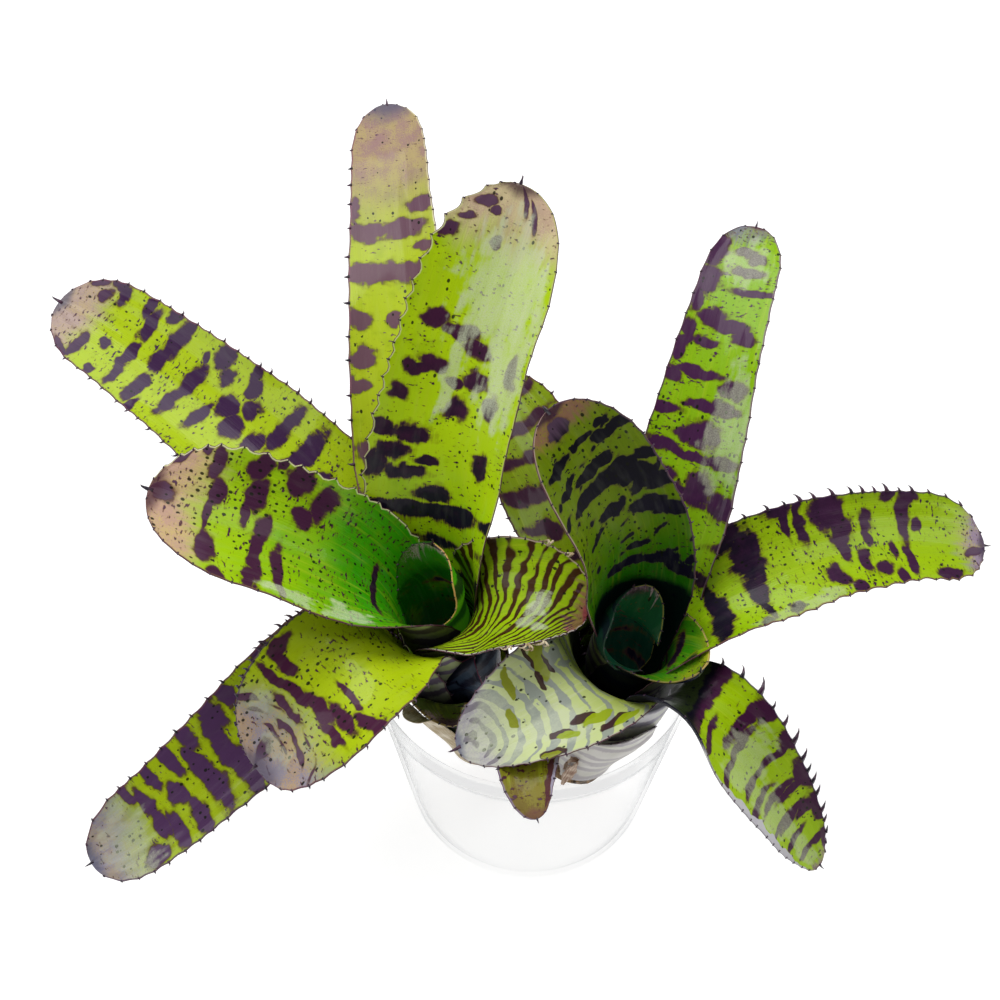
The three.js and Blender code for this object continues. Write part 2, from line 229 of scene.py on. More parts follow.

# How an upper face is coloured, unless its leaf says otherwise. Lengths are millimetres.
# throat, blade, vein, moss: its greens. deep_to: the share of the blade where the throat's green ends.
# tip, tip_second, tip_reach: the scurf at its tip. end, end_colour: the darker end of that.
# period, level, breakup, uneven, blotch, wander, bow, slant, sweep: the rows of blotches, which lie between
# first and last from the tip. throat_clear: how empty of them it is beyond last.
# specks, freckles: how many small dots, and how few larger ones.
# band, navy_to, fringe, cover: the blotches' colour, the share of the blade up to which it is more navy,
# their own dark deepened by painted shade of the throat, the strength of their rusty edge, and how well they
# cover.
# veil, sheen: places of painted sheen, pale patches that stand in for reflections on its glossy coat, given
# as in MARKS, and how strong it is. patches: places given the same way, in colours of their own.
# rims: the colours of the two margins. dusk, shade, dark_from: the painted shade down in the tube: the
# shares of the blade over which it fades out, how dark it gets, and the distance from the tip past which it
# is nearly full.
# gloss, glow: the strength of its coat, and of a painted glow: emission in its own colour that stands in for
# the light that comes through it and lifts its shade.
UPPER_LOOK = dict(
    throat="3f9408", blade="9cc40a", vein="bccc2c", moss="7c9c08", deep_to=0.15, tip="c9b783",
    tip_second="b59aa0", tip_reach=26, end=5, end_colour="3a2030", period=12, level=0.3, breakup=0.5,
    uneven=0.7, blotch=8, wander=8, bow=3, slant=0.0, sweep=0.0, first=12, last=400, throat_clear=1.0,
    specks=0.3, freckles=0.7, band="301430", navy_to=0.1, fringe=0.5, cover=0.97, veil=(), sheen=0.4,
    patches=(), rims=("5a1f38",) * 2, dusk=(-0.45, 0.0), shade=0.8, dark_from=400, gloss=0.14, glow=0.0)
# How an under face is coloured: pale and green skin, dark cross stripes so many millimetres apart, and
# painted shade in the sheath colour, low in the tube and between two distances from the tip.
UNDER_LOOK = dict(
    pale="c8ccb8", green="9aa860", dark="6e6272", period=6, sheath="0e1024", dark_from=400, dark_to=500,
    rims=("5a1f38",) * 2, dusk=(-0.15, 0.2), shade=0.85, gloss=0.15, glow=0.0)


class LeafFace(Shader):
    """A leaf face's material. Its maps tell how far across and from the tip a place is, in millimetres,
    and what share of the half width and of the blade that makes."""

    def __init__(self, leaf, name, look, seed):
        super().__init__(f"{leaf.name}_{name}")
        across, from_tip, _ = self.split(self.node("UVMap", {"uv_map": "run"}))
        self.across, self.from_tip = across * METRE, from_tip * METRE
        self.side, self.blade, _ = self.split(self.node("UVMap", {"uv_map": "share"}))
        self.look, self.seed = SimpleNamespace(**look), seed

    def mottle(self, wide, long, offset, detail=2.0):
        """Noise from 0 to 1, about that coarse across the leaf and along it. The offset sets it apart."""
        return self.noise(self.across / wide, self.from_tip / long, self.seed + offset, detail)

    def sway(self, wide, long, offset, detail=2.0):
        """The same noise, evenly about 0."""
        return self.mottle(wide, long, offset, detail) - 0.5

    def with_rims(self, colour):
        """The colour with a thin line along each margin, in that margin's own colour."""
        inward = abs(self.across) / abs(self.side).most(0.05) - abs(self.across)
        first, second = self.look.rims
        rim = self.mix(self.side.rising(-0.01, 0.01), rgb(first), rgb(second))
        near = inward.falling(0.3 * RIM_WIDTH, 1.6 * RIM_WIDTH) * abs(self.side).rising(0.5, 0.6)
        return self.mix(near * 0.85, colour, rim)

    def finish_leaf(self, colour, roughness, coat_roughness, relief):
        # The emission is a painted glow in the face's own colour, at the strength of its glow, for light
        # coming through the leaf.
        return self.finish_skin({
            "Base Color": colour, "Roughness": roughness, "Coat Weight": self.look.gloss,
            "Coat Roughness": coat_roughness, "Specular IOR Level": self.look.gloss * 0.8,
            "Normal": self.bump(relief, *LEAF_BUMP),
            "Emission Color": colour, "Emission Strength": self.look.glow})


class UpperFace(LeafFace):
    """The glossy upper face: green with dark bands, blotches and specks, a scurfy tip and a thin margin,
    with painted sheen in places, painted shade down in the tube and a painted glow.
    """

    def __init__(self, leaf):
        super().__init__(leaf, "upper", {**UPPER_LOOK, **leaf.look}, leaf.seed)
        self.marks = MARKS.get(leaf.name, ())
        self.half_width = leaf.width * (0.5 - 0.35 * leaf.taper)
        self.drift = self.sway(26, 24, 0)
        self.kink = self.sway(7, 8, 2)
        self.lumpy = self.sway(3.2, 2.4, 5, 3.0)
        self.cloud = self.sway(12, 16, 11)
        self.grain = self.mottle(0.35, 0.35, 17, 1.0)
        ripple = self.sway(5, 5, 4)
        self.spot = self.node("CombineXYZ", inputs=[
            self.side * self.half_width + self.kink * 4 + ripple * 3,
            self.from_tip + self.drift * 2 + ripple * 4, 0.0])

    def closest(self, patches):
        """How far the nearest patch's centre is, in that patch's own half sizes."""
        nearest = None
        for side, from_tip, half_across, half_run in patches:
            scale = (1 / half_across, 1 / half_run, 0.0)
            offset = (-side * self.half_width / half_across, -from_tip / half_run, 0.0)
            away = self.node("VectorMath", {"operation": "MULTIPLY_ADD"}, [self.spot, scale, offset])
            away = self.node("VectorMath", {"operation": "LENGTH"}, [away], output=1)
            nearest = away if nearest is None else nearest.math("MINIMUM", away)
        return nearest

    def bands(self):
        """Rows of blotches that wander, bow towards the tip, fork and break up. Above 0 it is dark."""
        look = self.look
        row = self.from_tip + self.side * self.side * look.bow + self.across * look.slant
        row = row - self.side.most(0.0) ** 2 * look.sweep
        row = (row + self.drift * look.wander + self.kink * 5) / look.period
        # Each row breaks up in its own way, and some rows are heavier than others.
        number = row.math("ROUND")
        patch = self.noise(self.across / look.blotch, number * 3.7, self.seed + 7, 1.0) - 0.5
        weight = self.noise(number * 5.3, 0.0, self.seed + 8, 0.0) - 0.5
        clearing = self.from_tip.falling(look.first - 4, look.first + 3) * 2.0
        clearing = clearing + self.from_tip.rising(look.last - 5, look.last + 12) * look.throat_clear
        wave = (row * math.tau).math("COSINE") * 0.5
        dark = wave + patch * (look.breakup * 3) + weight * look.uneven
        return dark + self.lumpy * 0.6 - look.level - clearing

    def darkness(self):
        """The bands, the single blotches and the freckles together, with fibrous edges.

        A blotch reaches a little past its half sizes, which its ragged edge wears away again.
        """
        dark = self.bands()
        if self.marks:
            dark = dark.most((1.18 - self.closest(self.marks)) * 0.8 + self.lumpy * 0.9)
        freckles = self.mottle(1.5, 0.9, 6) + self.kink * 0.25
        fibres = self.sway(0.55, 6, 3) * (self.blade.falling(0.1, 0.7) * 0.4 + 0.15)
        return dark.most((freckles - self.look.freckles) * 3.5) + fibres

    def green(self, streaks):
        """Deeper in the throat, yellower along some veins, with a mossy tint here and there."""
        look = self.look
        up_blade = (self.blade + self.cloud * 0.5).rising(look.deep_to - 0.3, look.deep_to + 0.25)
        green = self.mix(up_blade, rgb(look.throat), rgb(look.blade))
        green = self.mix(streaks.rising(0.5, 0.75) * 0.3, green, rgb(look.vein))
        return self.mix((self.kink + self.lumpy * 0.5).rising(0.0, 0.3) * 0.3, green, rgb(look.moss))

    def with_specks(self, colour):
        """Small dark dots, in clumps."""
        clump = (self.mottle(6, 8, 21) + self.cloud).rising(0.4, 0.65)
        specks = self.dots(self.across / 1.9, self.from_tip / 2.6 + self.seed,
                           self.look.specks * (clump + 0.15), 0.19)
        return self.mix(specks * 0.92, colour, SPECK)

    def with_powder_and_sheen(self, colour):
        """A faint powder all over, and painted sheen in the veil's places: pale, grainy patches that stand
        in for reflections on the glossy coat.
        """
        powder = self.mottle(2.2, 9, 19, 3.0)
        colour = self.mix((powder - 0.5) * 0.12, colour, POWDER)
        if not self.look.veil:
            return colour
        veil = 1.0 - self.closest(self.look.veil) + (powder - 0.5) * 1.6 + self.lumpy * 0.8
        grains = powder * 0.8 + self.grain * 1.2 - 0.15
        return self.mix(veil.rising(-0.1, 0.35) * grains * self.look.sheen, colour, PAINTED_SHEEN)

    def make(self):
        look, from_tip = self.look, self.from_tip
        dark = self.darkness()
        fringe, halo, core = dark.rising(-0.34, 0.02), dark.rising(-0.1, 0.05), dark.rising(0.02, 0.15)
        streaks = self.mottle(0.9, 22, 9)

        # The green under tan scurf at the tip, then the blotches with their rusty and maroon edges.
        scurf = from_tip + self.cloud * 16 + (streaks - 0.5) * 8
        scurf = scurf.falling(look.tip_reach * 0.35, look.tip_reach)
        flecks = (self.mottle(6, 7, 13, 3.0) + (self.grain - 0.5) * 0.7).rising(0.35, 0.65)
        tan = self.mix(flecks, rgb(look.tip), rgb(look.tip_second))
        colour = self.mix(scurf, self.green(streaks), tan)
        # Low in the throat the blotches turn navy: their own dark deepened by painted shade.
        up_blade = (self.blade + self.lumpy * 0.5).rising(look.navy_to - 0.1, look.navy_to + 0.4)
        band = self.mix(scurf * 0.6, self.mix(up_blade, NAVY, rgb(look.band)), FADED_BAND)
        colour = self.mix(fringe * look.fringe, colour, RUST)
        colour = self.mix(halo * (look.fringe + 0.3), colour, MAROON)
        colour = self.mix(core * look.cover, colour, band)
        colour = self.with_powder_and_sheen(self.with_specks(colour))

        # The dark end, the margins, the painted shade down in the tube, and the patches of another colour.
        end = (from_tip + self.cloud * 6 + abs(self.across) * 0.3).falling(1.5, look.end)
        colour = self.with_rims(self.mix(end * 0.85, colour, rgb(look.end_colour)))
        in_tube = (from_tip + self.lumpy * 3).rising(look.dark_from, look.dark_from + 3) * 0.95
        deep = (self.blade.falling(*look.dusk) * look.shade).most(in_tube)
        colour = self.mix(deep, colour, TUBE_SHADE)
        for tint, patches in look.patches:
            inside = 1.0 - self.closest(patches) + self.lumpy * 0.5
            colour = self.mix(inside.rising(-0.05, 0.1) * 0.95, colour, rgb(tint))

        veins = self.mottle(0.45, 18, 15)
        relief = veins * 0.6 + self.grain * 0.2 + self.cloud * 0.8 + core * 0.12
        roughness = 0.36 + scurf * 0.2 + (self.grain - 0.5) * 0.15
        return self.finish_leaf(colour, roughness, 0.07, relief)


class UnderFace(LeafFace):
    """The under face: silvery powder in fine cross stripes over purple grey, with painted shade in the
    sheath.
    """

    def __init__(self, leaf):
        super().__init__(leaf, "under", {**UNDER_LOOK, **leaf.under}, leaf.seed + 40)

    def make(self):
        look, from_tip = self.look, self.from_tip
        drift, ragged = self.sway(20, 14, 0), self.sway(0.9, 5, 3, 3.0)
        wave = (from_tip + drift * 14 + self.side * self.side * 2) * (math.tau / look.period)
        stripes = (wave.math("SINE") * 0.5 + ragged * 0.6).rising(-0.2, 0.3)
        skin = self.mix(self.mottle(10, 16, 5).rising(0.3, 0.7), rgb(look.pale), rgb(look.green))
        skin = self.with_rims(self.mix(stripes, skin, rgb(look.dark)))
        # Painted shade in the sheath colour: low down the blade, and between dark_from and dark_to.
        low_down = from_tip.rising(look.dark_from, look.dark_from + 3)
        low_down = low_down * from_tip.falling(look.dark_to - 4, look.dark_to)
        deep = (self.blade.falling(*look.dusk) * look.shade).most(low_down * 0.97)
        skin = self.mix(deep, skin, rgb(look.sheath))
        veins, grain = self.mottle(0.45, 18, 7), self.mottle(0.3, 0.3, 9, 1.0)
        return self.finish_leaf(skin, 0.42 + grain * 0.15, 0.12, veins * 0.6 + grain * 0.4)


def wiry_finish(name, dark, pale):
    """The spines and the shreds."""
    shader = Shader(name)
    tint = shader.node("TexNoise", inputs={"Vector": shader.object_place(), "Scale": 400.0})
    colour = shader.mix(tint.rising(0.35, 0.65), rgb(dark), rgb(pale))
    return shader.finish_skin({"Base Color": colour, "Roughness": 0.35 + tint * 0.2, "Coat Weight": 0.3})


def withered_finish(name, pale, dark):
    """Papery and fibrous, with stains."""
    shader = Shader(name)
    across, from_tip, _ = shader.split(shader.node("UVMap", {"uv_map": "run"}))
    across, from_tip = across * METRE, from_tip * METRE
    fibres = shader.noise(across / 0.35, from_tip / 9, 2.0, 3.0)
    stains = shader.noise(across / 4, from_tip / 5, 5.0, 3.0)
    colour = shader.mix((fibres * 0.6 + stains * 0.6).rising(0.4, 0.75), rgb(pale), rgb(dark))
    return shader.finish_skin({"Base Color": colour, "Roughness": 0.75 + fibres * 0.2,
                               "Normal": shader.bump(fibres + stains, 0.6, 0.0005)})


# ---------------------------------------------------------------- rhizome, cup and floor finishes


def bark_finish():
    """Brown fibres up the stem, crossed by pale leaf scars."""
    shader = Shader("rhizome_bark")
    x, y, z = (part * METRE for part in shader.split(shader.object_place()))
    fibres = shader.noise(x / 1.2, y / 1.2, z / 7, 4.0, 0.6)
    scars = shader.noise(x / 9, y / 9, z / 1.1, 2.0)
    colour = shader.mix(fibres.rising(0.35, 0.65), rgb("3d2a1c"), rgb("9a7a52"))
    colour = shader.mix(scars.rising(0.55, 0.7) * 0.6, colour, rgb("c4ab82"))
    return shader.finish_skin({"Base Color": colour, "Roughness": 0.8 + fibres * 0.15,
                               "Normal": shader.bump(fibres + scars * 0.6, 0.8, 0.0008)})


def clear_plastic_finish():
    """Thin clear plastic: mostly see-through, brighter where it is seen edge on."""
    shader = Shader("clear_plastic_wall")
    x, y, z = shader.split(shader.object_place())
    flow = shader.noise(x * 60, y * 60, z * 25, 1.0)
    normal = shader.bump(flow, 0.15, 0.0006)
    clear = shader.node("BsdfTransparent", inputs={"Color": rgb("fefefe")})
    gloss = shader.node("BsdfGlossy", inputs={"Color": rgb("f4f4f4"), "Roughness": 0.08, "Normal": normal})
    haze = shader.node("BsdfDiffuse", inputs={"Color": rgb("c6cace")})
    plastic = shader.node("MixShader", inputs=[0.6, gloss, haze])
    edge_on = shader.node("LayerWeight", inputs={"Blend": 0.25}, output=1)
    return shader.finish(shader.node("MixShader", inputs=[
        edge_on.rising(0.5, 0.93) * 0.45 + 0.008, clear, plastic]))


def pale_floor_finish():
    shader = Shader("pale_floor")
    white = shader.node("BsdfDiffuse", inputs={"Color": (0.45, 0.45, 0.45, 1.0)})
    glow = shader.node("Emission", inputs={"Color": (1.0, 1.0, 1.0, 1.0), "Strength": 0.85})
    return shader.finish(shader.node("AddShader", inputs=[white, glow]))


# ---------------------------------------------------------------- mesh helpers


def unit(v):
    v = np.asarray(v, float)
    return v / np.linalg.norm(v, axis=-1, keepdims=True)


def smooth(x, low=0.0, high=1.0):
    x = np.clip((np.asarray(x, float) - low) / (high - low), 0, 1)
    return x * x * (3 - 2 * x)


def heading(degrees):
    """The level direction so many degrees from +X towards +Y."""
    turn = math.radians(degrees)
    return np.array([math.cos(turn), math.sin(turn), 0.0])


def walked(points):
    """How far along the line each of its points is."""
    return np.concatenate([[0.0], np.cumsum(np.linalg.norm(np.diff(points, axis=0), axis=1))])


def along(line, distances, far=None):
    """The values of a line at those distances along it, or along the line whose distances are far."""
    far = walked(line) if far is None else far
    return np.stack([np.interp(distances, far, line[:, axis]) for axis in range(3)], -1)


def grid_faces(rows, columns, closed=False):
    """Quads between rows of points, each row a ring. Where it is closed, the last row meets the first."""
    faces = []
    for i in range(rows if closed else rows - 1):
        here, there = i * columns, (i + 1) % rows * columns
        for j in range(columns):
            beside = (j + 1) % columns
            faces.append((here + j, here + beside, there + beside, there + j))
    return faces


def end_caps(rows, columns):
    return [tuple(range(columns))[::-1], tuple((rows - 1) * columns + j for j in range(columns))]


class Parts:
    """Vertices, faces and the two leaf maps of one mesh, gathered piece by piece."""

    def __init__(self):
        self.points, self.run, self.share, self.faces, self.finishes = [], [], [], [], []
        self.count = 0

    def add(self, points, faces, finish, run=None, share=None):
        points = np.asarray(points, float).reshape(-1, 3)
        blank = np.zeros((len(points), 2))
        self.points.append(points)
        self.run.append(blank if run is None else run)
        self.share.append(blank if share is None else share)
        self.faces += [tuple(self.count + i for i in face) for face in faces]
        self.finishes += [finish] * len(faces) if isinstance(finish, int) else list(finish)
        self.count += len(points)

    def add_tube(self, line, radii, finish, sides=6):
        """A tube along a line that closes to a point at its end. There is one radius less than points."""
        line = np.asarray(line, float)
        forward = unit(np.gradient(line, axis=0))
        across = unit(np.cross(forward, (0.31, 0.17, 0.93)))  # a direction that no tube follows
        over = np.cross(forward, across)
        turn = np.arange(sides)[:, None] * math.tau / sides
        rings = (line[:-1, None] + np.asarray(radii)[:, None, None] * (
            across[:-1, None] * np.cos(turn) + over[:-1, None] * np.sin(turn)))
        points = np.vstack([rings.reshape(-1, 3), line[-1:]])
        rows = len(line) - 1
        last = (rows - 1) * sides
        faces = grid_faces(rows, sides)
        faces += [(last + j, last + (j + 1) % sides, len(points) - 1) for j in range(sides)]
        faces.append(tuple(range(sides))[::-1])
        self.add(points, faces, finish)

    def build(self, name, materials):
        mesh = bpy.data.meshes.new(name)
        mesh.from_pydata(np.vstack(self.points) * MM, [], self.faces)
        for material in materials:
            mesh.materials.append(material)
        mesh.polygons.foreach_set("material_index", self.finishes)
        corner = np.empty(len(mesh.loops), int)
        mesh.loops.foreach_get("vertex_index", corner)
        for label, values in (("run", np.vstack(self.run) * MM), ("share", np.vstack(self.share))):
            layer = mesh.uv_layers.new(name=label)
            layer.data.foreach_set("uv", values[corner].ravel())
        mesh.shade_smooth()
        mesh.validate()
        return place(name, mesh)


def place(name, mesh):
    piece = bpy.data.objects.new(name, mesh)
    bpy.context.scene.collection.objects.link(piece)
    return piece


def stand_for(piece, node):
    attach(piece, "root")
    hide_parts(node)


# ---------------------------------------------------------------- leaves

LEAF_THICKNESS = 0.8
LEAST_HALF_WIDTH = 0.4  # at the very tip
STATION_STEP = 1.3  # along a leaf, on average
SHEATH_POINTS, BLADE_POINTS = 120, 260  # of the middle line that the stations are taken from
INNER_RADIUS = 9.0  # of the innermost sheath, at its widest
LAYER_PITCH = 1.2  # between two sheaths, at their widest
STEM_RADIUS = 3.5  # of the innermost sheath, where it is attached
STEM_PITCH = 1.15  # between two sheaths, where they are attached
LAYER_STEP = 3.0  # down the stem from one layer to the next
SWELL_LENGTH = 38.0  # along the stem, from the attachment to the widest place

ROSETTES = {
    "left": SimpleNamespace(foot=np.array([-13.0, 3, 18]), crown=np.array([-31.0, 5, 95]), layers=8),
    "right": SimpleNamespace(foot=np.array([14.5, -1, 14]), crown=np.array([29.0, -5, 90]), layers=9),
}

# The leaves of both rosettes. The first word of a leaf's name is its rosette.
# grows: its layer, counted out from the heart, its heading, and how far up the tube its sheath goes, where 1
# is the whole way.
# tip, aim: where the blade ends, and the way it points there.
# bend: how far the blade follows the sheath's way at its start and the aim at its end.
# widths: of the blade and of the sheath. face: the way the upper face looks.
# curl: the channel's radius at the blade's two ends. taper, neck: the shares of its width that it loses
# towards the tip and at the top of the sheath. blunt: the rounded end's length, in half widths.
# margins: on its two sides, the spines' spacing, length and lean to the tip, and the depth of the scallops.
# trims: the side, distance from the tip, spread and depth of a place where that margin draws in.
# curls: the side, distance from the tip and size of dry shreds. dry: the pale and dark of a withered leaf.
LEAF_USUAL = dict(blunt=1.15, neck=0, slot="leaf_green", margins=((9, 0.0, 0.5, 0.4),) * 2, trims=(),
                  curls=(), dry=None, look={}, under={})
LEAVES = {
    "left_heart_leaf": dict(
        grows=(0, 45, 0.88), tip=(-27, 12, 102), aim=(0.05, 0.15, 1), bend=(8, 8), widths=(36, 44),
        face=(-0.5, -0.85, 0.2), curl=(9.8, 10.5), taper=0.15, blunt=0.7, slot="leaf_banded",
        margins=((4, 0.4, 0.5, 0.3),) * 2, trims=((-1, 0, 14, 2),),
        look=dict(throat="0c5008", blade="2c7a0c", vein="3c8c14", tip="4c7c14", tip_reach=4, period=9,
                  level=0.6, specks=0.1, deep_to=0.4, shade=0.5, dusk=(-0.9, -0.4),
                  rims=("1c4c10", "b89860"), end=2, glow=0.1),
        under=dict(period=9, pale="5aa010", dark="1a3a10", green="3c9a0c", sheath="1c5a10", shade=0.5,
                   rims=("1c4c10", "c89a58"), glow=0.2)),
    "left_trough_leaf": dict(
        grows=(1, 188, 0.84), tip=(-92, 0, 138), aim=(-0.75, 0, 0.5), bend=(26, 34), widths=(42, 50),
        face=(0.3, -0.3, 0.9), curl=(24, 26), taper=0.1,
        margins=((6, 0.5, 0.5, 0.3), (5.5, 0.3, 0.5, 1.6)),
        look=dict(throat="359a06", tip="cbb27c", tip_second="c4a08c", tip_reach=20, first=300, specks=0.6,
                  deep_to=0.5, end_colour="4d2838", freckles=0.67, band="421a3a",
                  rims=("7a5848", "e4e4b0"), glow=0.16, dusk=(-0.6, -0.1),
                  veil=((-0.85, 38, 2.5, 9), (-0.8, 54, 3, 8)), sheen=0.6)),
    "left_short_leaf": dict(
        grows=(2, -22, 0.76), tip=(14, -5, 94), aim=(0.75, -0.1, -0.65), bend=(12, 22), widths=(38, 44),
        face=(0.1, -0.3, 0.95), curl=(22, 20), taper=0.3, slot="leaf_banded",
        margins=((4.5, 0.5, 0.5, 0.5), (3.5, 0.4, 0.5, 0.7)), trims=((1, 18.5, 9, -4.6),),
        curls=((1, 15, 4), (1, 12, 3), (-1, 14, 3), (-1, 10, 2.5), (1, 19, 2)),
        look=dict(throat="6c9408", blade="9cc00c", vein="c8d030", tip="b8606c", tip_second="a08050",
                  tip_reach=6, period=2.9, level=0.1, uneven=0.5, blotch=7, first=3, wander=5, sweep=22,
                  specks=0.15, end=2.5, end_colour="a84858", band="42240e", navy_to=-0.1, dark_from=66,
                  veil=((0.1, 13, 2, 3), (0.3, 14, 2, 3.5), (0.45, 17, 2, 2.5), (0.6, 13, 1.6, 3)),
                  sheen=0.65, fringe=0.35, rims=("d8c0a8", "dcd8d4"))),
    "left_upright_leaf": dict(
        grows=(3, 75, 0.8), tip=(-4, 64, 178), aim=(0.3, 0.5, 0.8), bend=(42, 40), widths=(42, 48),
        face=(-0.15, -0.75, 0.6), curl=(24, 30), taper=0.12, blunt=1.4,
        margins=((6.5, 0.5, 0.6, 1.7), (8, 0.2, 0.6, 0.2)),
        look=dict(throat="74b008", blade="b0d00c", tip="ccbc90", tip_second="c0a48c", tip_reach=22,
                  period=11, level=0.2, breakup=0.6, first=84, specks=0.2, bow=5, navy_to=0.3,
                  freckles=0.69, band="401838",
                  veil=((0.3, 25, 14, 18), (0.65, 44, 7, 17), (-0.1, 50, 2.5, 12)), sheen=0.6,
                  rims=("d4d49c", "b8b870"), glow=0.12)),
    "left_front_leaf": dict(
        grows=(4, 248, 0.68), tip=(-71, -41, 78), aim=(-0.6, -0.2, -0.75), bend=(32, 34), widths=(47, 44),
        face=(-0.15, -0.5, 0.9), curl=(36, 26), taper=0.22, blunt=1.25, neck=0.25,
        margins=((7, 1.0, 0.7, 0.5), (3.2, 1.9, 0.7, 0.5)), trims=((1, 50, 13, 4.5), (-1, 58, 18, 7.5)),
        look=dict(throat="a8c80a", blade="b0c80e", tip="bca080", tip_second="9a92a0", tip_reach=24,
                  period=3.6, breakup=0.8, blotch=5, first=10, last=17, throat_clear=2.0, bow=6,
                  specks=0.6, end=7, end_colour="6a6074", band="4a1c3c", freckles=0.68,
                  veil=((-0.1, 9, 7, 3), (0.6, 14, 3.5, 4)), rims=("6a3848", "4a3858"))),
    # A small leaf low in the shadow under the rosette: its dark navy and grey colours are painted shade.
    "left_small_right_leaf": dict(
        grows=(5, 292, 0.58), tip=(-14, -13, 68), aim=(0.7, -0.2, -0.1), bend=(9, 12), widths=(20, 24),
        face=(-0.4, 0.9, 0.3), curl=(17, 17), taper=0.3, slot="leaf_banded",
        margins=((4, 0.5, 0.5, 0.3),) * 2, trims=((-1, 8, 14, -4), (1, 8, 14, -4)),
        look=dict(throat="141c30", blade="2c3a30", tip="6a6238", tip_reach=6, period=5, level=0.1,
                  specks=0.1, shade=0.9),
        under=dict(period=4.4, pale="2a3848", dark="080a20", green="1a2438", shade=0.7)),
    "left_rear_left_leaf": dict(
        grows=(5, 156, 0.73), tip=(-141, 91, 118), aim=(-0.85, 0.4, 0.25), bend=(30, 60), widths=(47, 36),
        face=(0.1, -0.5, 1), curl=(26, 40), taper=0.35, blunt=0.85, neck=0.1,
        margins=((6, 1.3, 0.8, 0.5),) * 2,
        look=dict(throat="98b808", blade="b2cc0a", tip="c4ae8a", tip_second="b8a098", tip_reach=17,
                  first=104, specks=0.2, end=4, end_colour="6c6878", band="3a1a46", freckles=0.67,
                  navy_to=0.0, rims=("6a3850", "7a4858"))),
    "left_rear_leaf": dict(
        grows=(6, 91, 0.64), tip=(-44, 146, 150), aim=(-0.08, 0.9, 0.1), bend=(46, 60), widths=(37, 30),
        face=(-0.1, -0.5, 1), curl=(24, 40), taper=0.4, blunt=1.2, neck=0.3,
        margins=((10, 1.6, 0.3, 0.3), (7, 0.3, 0.3, 0.3)), trims=((1, 182, 16, -4.5),),
        look=dict(throat="acc808", blade="b4c820", tip="b4a070", tip_second="a0807c", tip_reach=62,
                  first=106, period=13, specks=0.18, end=13, end_colour="5c5c70", band="6a4060",
                  fringe=0.25, cover=0.85, navy_to=-0.5, rims=("8a5868", "e0d8b0"))),
    "left_low_leaf": dict(
        grows=(6, 222, 0.66), tip=(-119, -52, 44), aim=(-0.8, -0.3, -0.4), bend=(46, 50), widths=(34, 28),
        face=(0.1, -0.5, 0.95), curl=(24, 40), taper=0.3, neck=0.1, margins=((7.5, 1.1, 0.7, 0.5),) * 2,
        look=dict(throat="a4c40a", blade="acc40e", tip="b0a090", tip_second="9890a4", tip_reach=24,
                  first=66, period=13, specks=0.35, end=6, end_colour="6a6a80", band="54345e",
                  navy_to=-0.3, veil=((-0.2, 11, 12, 9), (0.6, 14, 3, 4)), sheen=0.42,
                  rims=("5a3c60", "7a4858"))),
    "left_small_front_leaf": dict(
        grows=(7, 262, 0.5), tip=(-22, -23, 66), aim=(0.4, -0.5, 0.2), bend=(9, 10), widths=(18, 22),
        face=(0.1, 0.8, 0.6), curl=(18, 18), taper=0.3, slot="leaf_banded",
        margins=((3.2, 0.8, 0.4, 0.3),) * 2,
        look=dict(throat="28401a", blade="5c6c2c", tip="7a6a50", tip_reach=5, period=4, level=0.1,
                  specks=0.1, shade=0.9, rims=("a08850",) * 2),
        under=dict(period=3.4, pale="5c6c2c", dark="101008", green="44541a", shade=0.6,
                   rims=("a08850",) * 2)),
    "left_withered_leaf": dict(
        grows=(8, 236, 0.42), tip=(-35, -18, 61), aim=(-0.3, -0.5, 0.8), bend=(8, 7), widths=(12, 16),
        face=(0.5, 0.7, 0.4), curl=(18, 12), taper=0.4, slot="leaf_withered", dry=("e0d6c2", "a8946e")),
    # Its dark greens are partly its own and partly painted shade of the deep mouth; its glow lifts them
    # again.
    "right_heart_leaf": dict(
        grows=(0, 160, 0.9), tip=(26, 1, 97), aim=(0, 0.1, 1), bend=(6, 6), widths=(34, 46),
        face=(0.5, -0.85, 0.2), curl=(9.5, 10), taper=0.15, blunt=0.7, slot="leaf_banded",
        margins=((4, 0.4, 0.5, 0.3),) * 2,
        look=dict(throat="0c4430", blade="124c28", vein="1c5038", moss="0c3c20", tip="2c4420",
                  tip_reach=3, period=9, level=0.5, specks=0.1, deep_to=0.4, shade=0.45,
                  dusk=(-0.9, -0.3), glow=0.14, rims=("4c5c48", "8c8440")),
        under=dict(period=5, pale="0e3428", dark="081820", green="0c2c20", sheath="081018", shade=0.5,
                   rims=("2c4434",) * 2)),
    "right_upright_leaf": dict(
        grows=(1, 115, 0.84), tip=(1.5, 8, 156), aim=(-0.6, 0.2, 0.8), bend=(34, 24), widths=(40, 48),
        face=(0.3, -0.75, 0.6), curl=(18, 22), taper=0.25,
        margins=((9, 0.2, 0.6, 0.2), (5.5, 0.7, 0.6, 0.4)),
        look=dict(throat="246a06", blade="68800a", vein="8c9c18", moss="4c6c06", tip="8c8034",
                  tip_second="8c6850", tip_reach=10, period=5.2, level=0.5, breakup=0.9, blotch=4,
                  slant=0.5, first=9, last=56, specks=0.5, deep_to=0.5, end=3, end_colour="3a1c3a",
                  band="080418", navy_to=0.4, freckles=0.68, fringe=0.1, rims=("c0a898", "5a4858"),
                  glow=0.06, dark_from=64, gloss=0.04)),
    "right_lip_leaf": dict(
        grows=(2, 318, 0.87), tip=(42, -21, 91), aim=(0.1, -0.1, 1), bend=(5, 5), widths=(36, 44),
        face=(-0.5, 0.5, 0.5), curl=(13, 14), taper=0.3, margins=((4.5, 0.5, 0.5, 0.3),) * 2,
